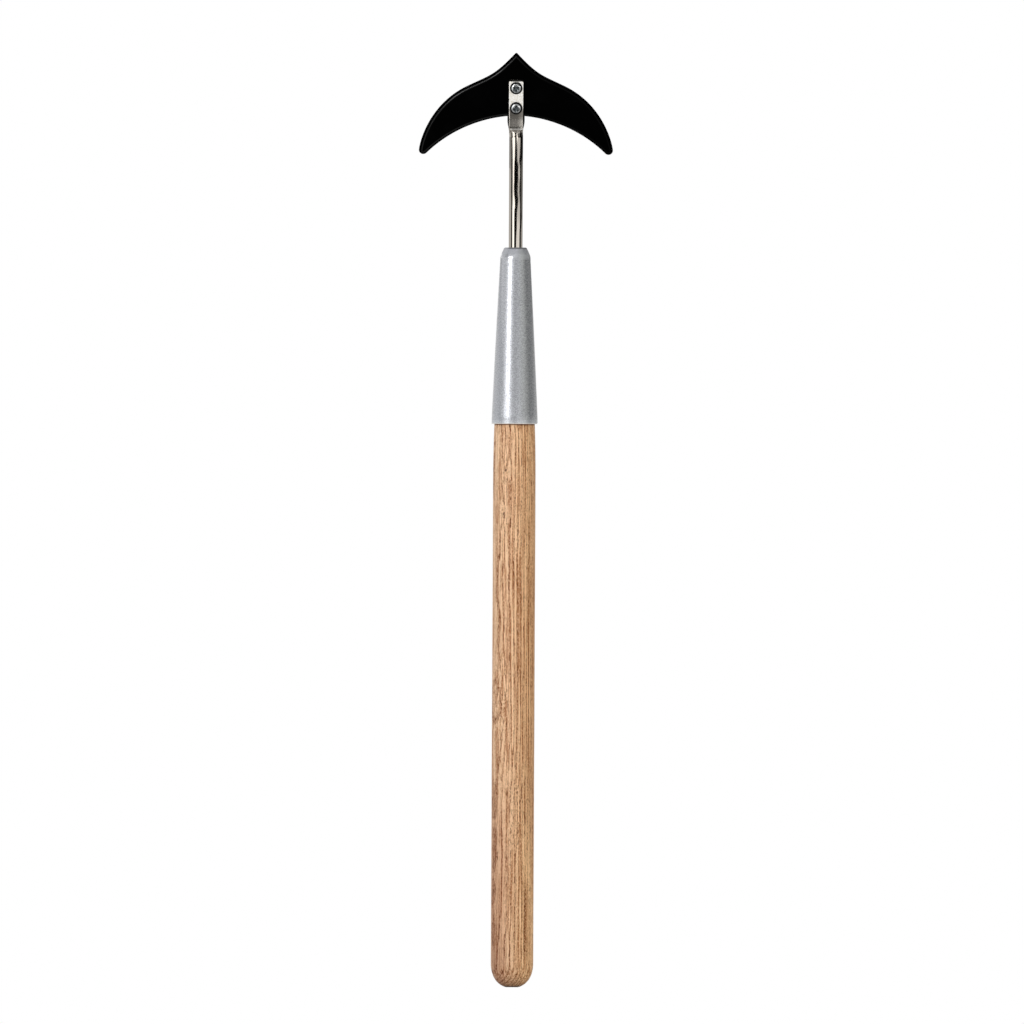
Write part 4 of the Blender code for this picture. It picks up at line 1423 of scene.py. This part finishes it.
def add_card(name, shade, rows):
    """A matt glowing card for metal to mirror, of (distance, height, first, last azimuth) rows."""
    points = [
        ray(azimuth, distance, height)
        for distance, height, first, last in rows
        for azimuth in steps_between(first, last, CARD_PANES)
    ]
    along = CARD_PANES + 1
    corners = [row * along + i for row in range(len(rows) - 1) for i in range(CARD_PANES)]
    faces = [(c, c + 1, c + along + 1, c + along) for c in corners]
    mesh = bpy.data.meshes.new(name)
    mesh.from_pydata(points, [], faces)
    card = add_object(name, mesh)
    material = bpy.data.materials.new(name)
    material.use_nodes = True
    nodes = Nodes(material.node_tree)
    matt = nodes.add("ShaderNodeEmission", None, {"Color": WHITE, "Strength": shade})
    nodes.feed(material.node_tree.nodes["Material Output"], {"Surface": matt})
    mesh.materials.append(material)
    card.visible_camera = False
    card.visible_diffuse = False
    card.visible_shadow = False
    card.visible_transmission = False


def build_cards():
    """Standing cards and cards on the floor."""
    for order, (name, (shade, strip)) in enumerate(CARDS.items()):
        add_card(name, shade, [(CARD_DISTANCE - order * CARD_STEP, *row) for row in strip])
    for name, (shade, first, last) in FLOOR_CARDS.items():
        rows = [(distance, FLOOR_CARD_HEIGHT, first, last) for distance in FLOOR_CARD_REACH]
        add_card(name, shade, rows)


# Softboxes that face the tool's axis: azimuth, distance, height of the middle, width, height,
# tilt down, tint, and whether metal mirrors it
SOFTBOXES = {
    "key": (-42.0, 1.6, 0.84, 0.5, 0.62, 0.0, (1.0, 1.0, 1.0), False),
    "side": (-78.0, 1.6, 0.65, 0.9, 1.2, 0.0, (0.94, 0.97, 1.0), False),
    "fill": (41.0, 1.6, 0.8, 1.16, 1.4, 0.0, (1.0, 0.98, 0.9), False),
    "top": (12.0, 1.1, 2.3, 1.4, 0.9, 62.0, (1.0, 1.0, 1.0), True),
}


def build_softboxes(studio):
    """The softboxes, each with its power from the studio's light."""
    for name, row in SOFTBOXES.items():
        azimuth, distance, middle, width, height, tilt, tint, mirrored = row
        light = bpy.data.lights.new(name + "_softbox", "AREA")
        light.shape = "RECTANGLE"
        light.size = width
        light.size_y = height
        light.energy = getattr(studio, name)
        light.color = tint
        obj = add_object(name + "_softbox", light)
        obj.location = ray(azimuth, distance, middle)
        obj.rotation_euler = (math.pi / 2 - math.radians(tilt), 0, math.radians(azimuth))
        obj.visible_glossy = mirrored


CAMERA_WIDTH = 0.768
CAMERA_PLACE = (-0.00163, -2.5, 0.3564)
CAMERA_ROLL = math.radians(0.275)


def build_camera():
    """A camera without perspective, level with the tool's middle and rolled a little."""
    camera = bpy.data.cameras.new("camera")
    camera.type = "ORTHO"
    camera.ortho_scale = CAMERA_WIDTH
    obj = add_object("camera", camera)
    obj.matrix_world = (
        Matrix.Translation(CAMERA_PLACE)
        @ Matrix.Rotation(math.pi / 2, 4, "X")
        @ Matrix.Rotation(CAMERA_ROLL, 4, "Z")
    )
    bpy.context.scene.camera = obj
    bpy.context.scene.view_settings.view_transform = "Standard"


class HOE_OT_handle(bpy.types.Operator):
    """Build the turned wooden handle"""

    bl_idname = "hoe.handle"
    bl_label = "Handle"
    bl_options = {"REGISTER", "UNDO"}

    def execute(self, context):
        build_handle(context.scene.hoe_sizes)
        return {"FINISHED"}


class HOE_OT_ferrule(bpy.types.Operator):
    """Build the conical sleeve between the handle and the rod"""

    bl_idname = "hoe.ferrule"
    bl_label = "Sleeve"
    bl_options = {"REGISTER", "UNDO"}

    def execute(self, context):
        build_ferrule(context.scene.hoe_sizes)
        return {"FINISHED"}


class HOE_OT_tang(bpy.types.Operator):
    """Build the rod with its pressed, bent and drilled tab"""

    bl_idname = "hoe.tang"
    bl_label = "Tang"
    bl_options = {"REGISTER", "UNDO"}

    def execute(self, context):
        build_tang(context.scene.hoe_sizes)
        return {"FINISHED"}


class HOE_OT_blade(bpy.types.Operator):
    """Build the crescent blade with its ground edges"""

    bl_idname = "hoe.blade"
    bl_label = "Blade"
    bl_options = {"REGISTER", "UNDO"}

    def execute(self, context):
        build_blade(context.scene.hoe_sizes)
        return {"FINISHED"}


class HOE_OT_screws(bpy.types.Operator):
    """Build the two pan head screws"""

    bl_idname = "hoe.screws"
    bl_label = "Screws"
    bl_options = {"REGISTER", "UNDO"}

    def execute(self, context):
        build_screws(context.scene.hoe_sizes)
        return {"FINISHED"}


class HOE_OT_nuts(bpy.types.Operator):
    """Build the spring washers and nuts behind the blade"""

    bl_idname = "hoe.nuts"
    bl_label = "Washers and nuts"
    bl_options = {"REGISTER", "UNDO"}

    def execute(self, context):
        build_nuts(context.scene.hoe_sizes)
        return {"FINISHED"}


class HOE_OT_studio(bpy.types.Operator):
    """Build the white floor, the light, the cards that the metal mirrors and the camera"""

    bl_idname = "hoe.studio"
    bl_label = "Studio"
    bl_options = {"REGISTER", "UNDO"}

    def execute(self, context):
        build_world(context.scene.hoe_studio)
        build_floor()
        build_cards()
        build_softboxes(context.scene.hoe_studio)
        build_camera()
        return {"FINISHED"}


class HOE_PT_panel(bpy.types.Panel):
    """Sizes, colours, light and the steps that build the hoe"""

    bl_idname = "HOE_PT_panel"
    bl_label = "Push-pull hoe"
    bl_space_type = "VIEW_3D"
    bl_region_type = "UI"
    bl_category = "Hoe"

    def draw(self, context):
        scene = context.scene
        for group in (scene.hoe_sizes, scene.hoe_colours, scene.hoe_studio):
            column = self.layout.column(align=True)
            for name in group.__annotations__:
                column.prop(group, name)
        for operator in STEPS:
            self.layout.operator(operator.bl_idname)


STEPS = (
    HOE_OT_handle,
    HOE_OT_ferrule,
    HOE_OT_tang,
    HOE_OT_blade,
    HOE_OT_screws,
    HOE_OT_nuts,
    HOE_OT_studio,
)
GROUPS = {"hoe_sizes": HoeSizes, "hoe_colours": HoeColours, "hoe_studio": HoeStudio}


def register():
    """Registers the groups, the operators and the panel."""
    for cls in (*GROUPS.values(), *STEPS, HOE_PT_panel):
        bpy.utils.register_class(cls)
    for name, group in GROUPS.items():
        setattr(bpy.types.Scene, name, PointerProperty(type=group))


def unregister():
    """Takes away what register() added."""
    for name in GROUPS:
        delattr(bpy.types.Scene, name)
    for cls in reversed((*GROUPS.values(), *STEPS, HOE_PT_panel)):
        bpy.utils.unregister_class(cls)


def main():
    """Builds the hoe and the studio."""
    register()
    bpy.ops.hoe.handle()
    bpy.ops.hoe.ferrule()
    bpy.ops.hoe.tang()
    bpy.ops.hoe.blade()
    bpy.ops.hoe.screws()
    bpy.ops.hoe.nuts()
    bpy.ops.hoe.studio()


if __name__ == "__main__":
    main()
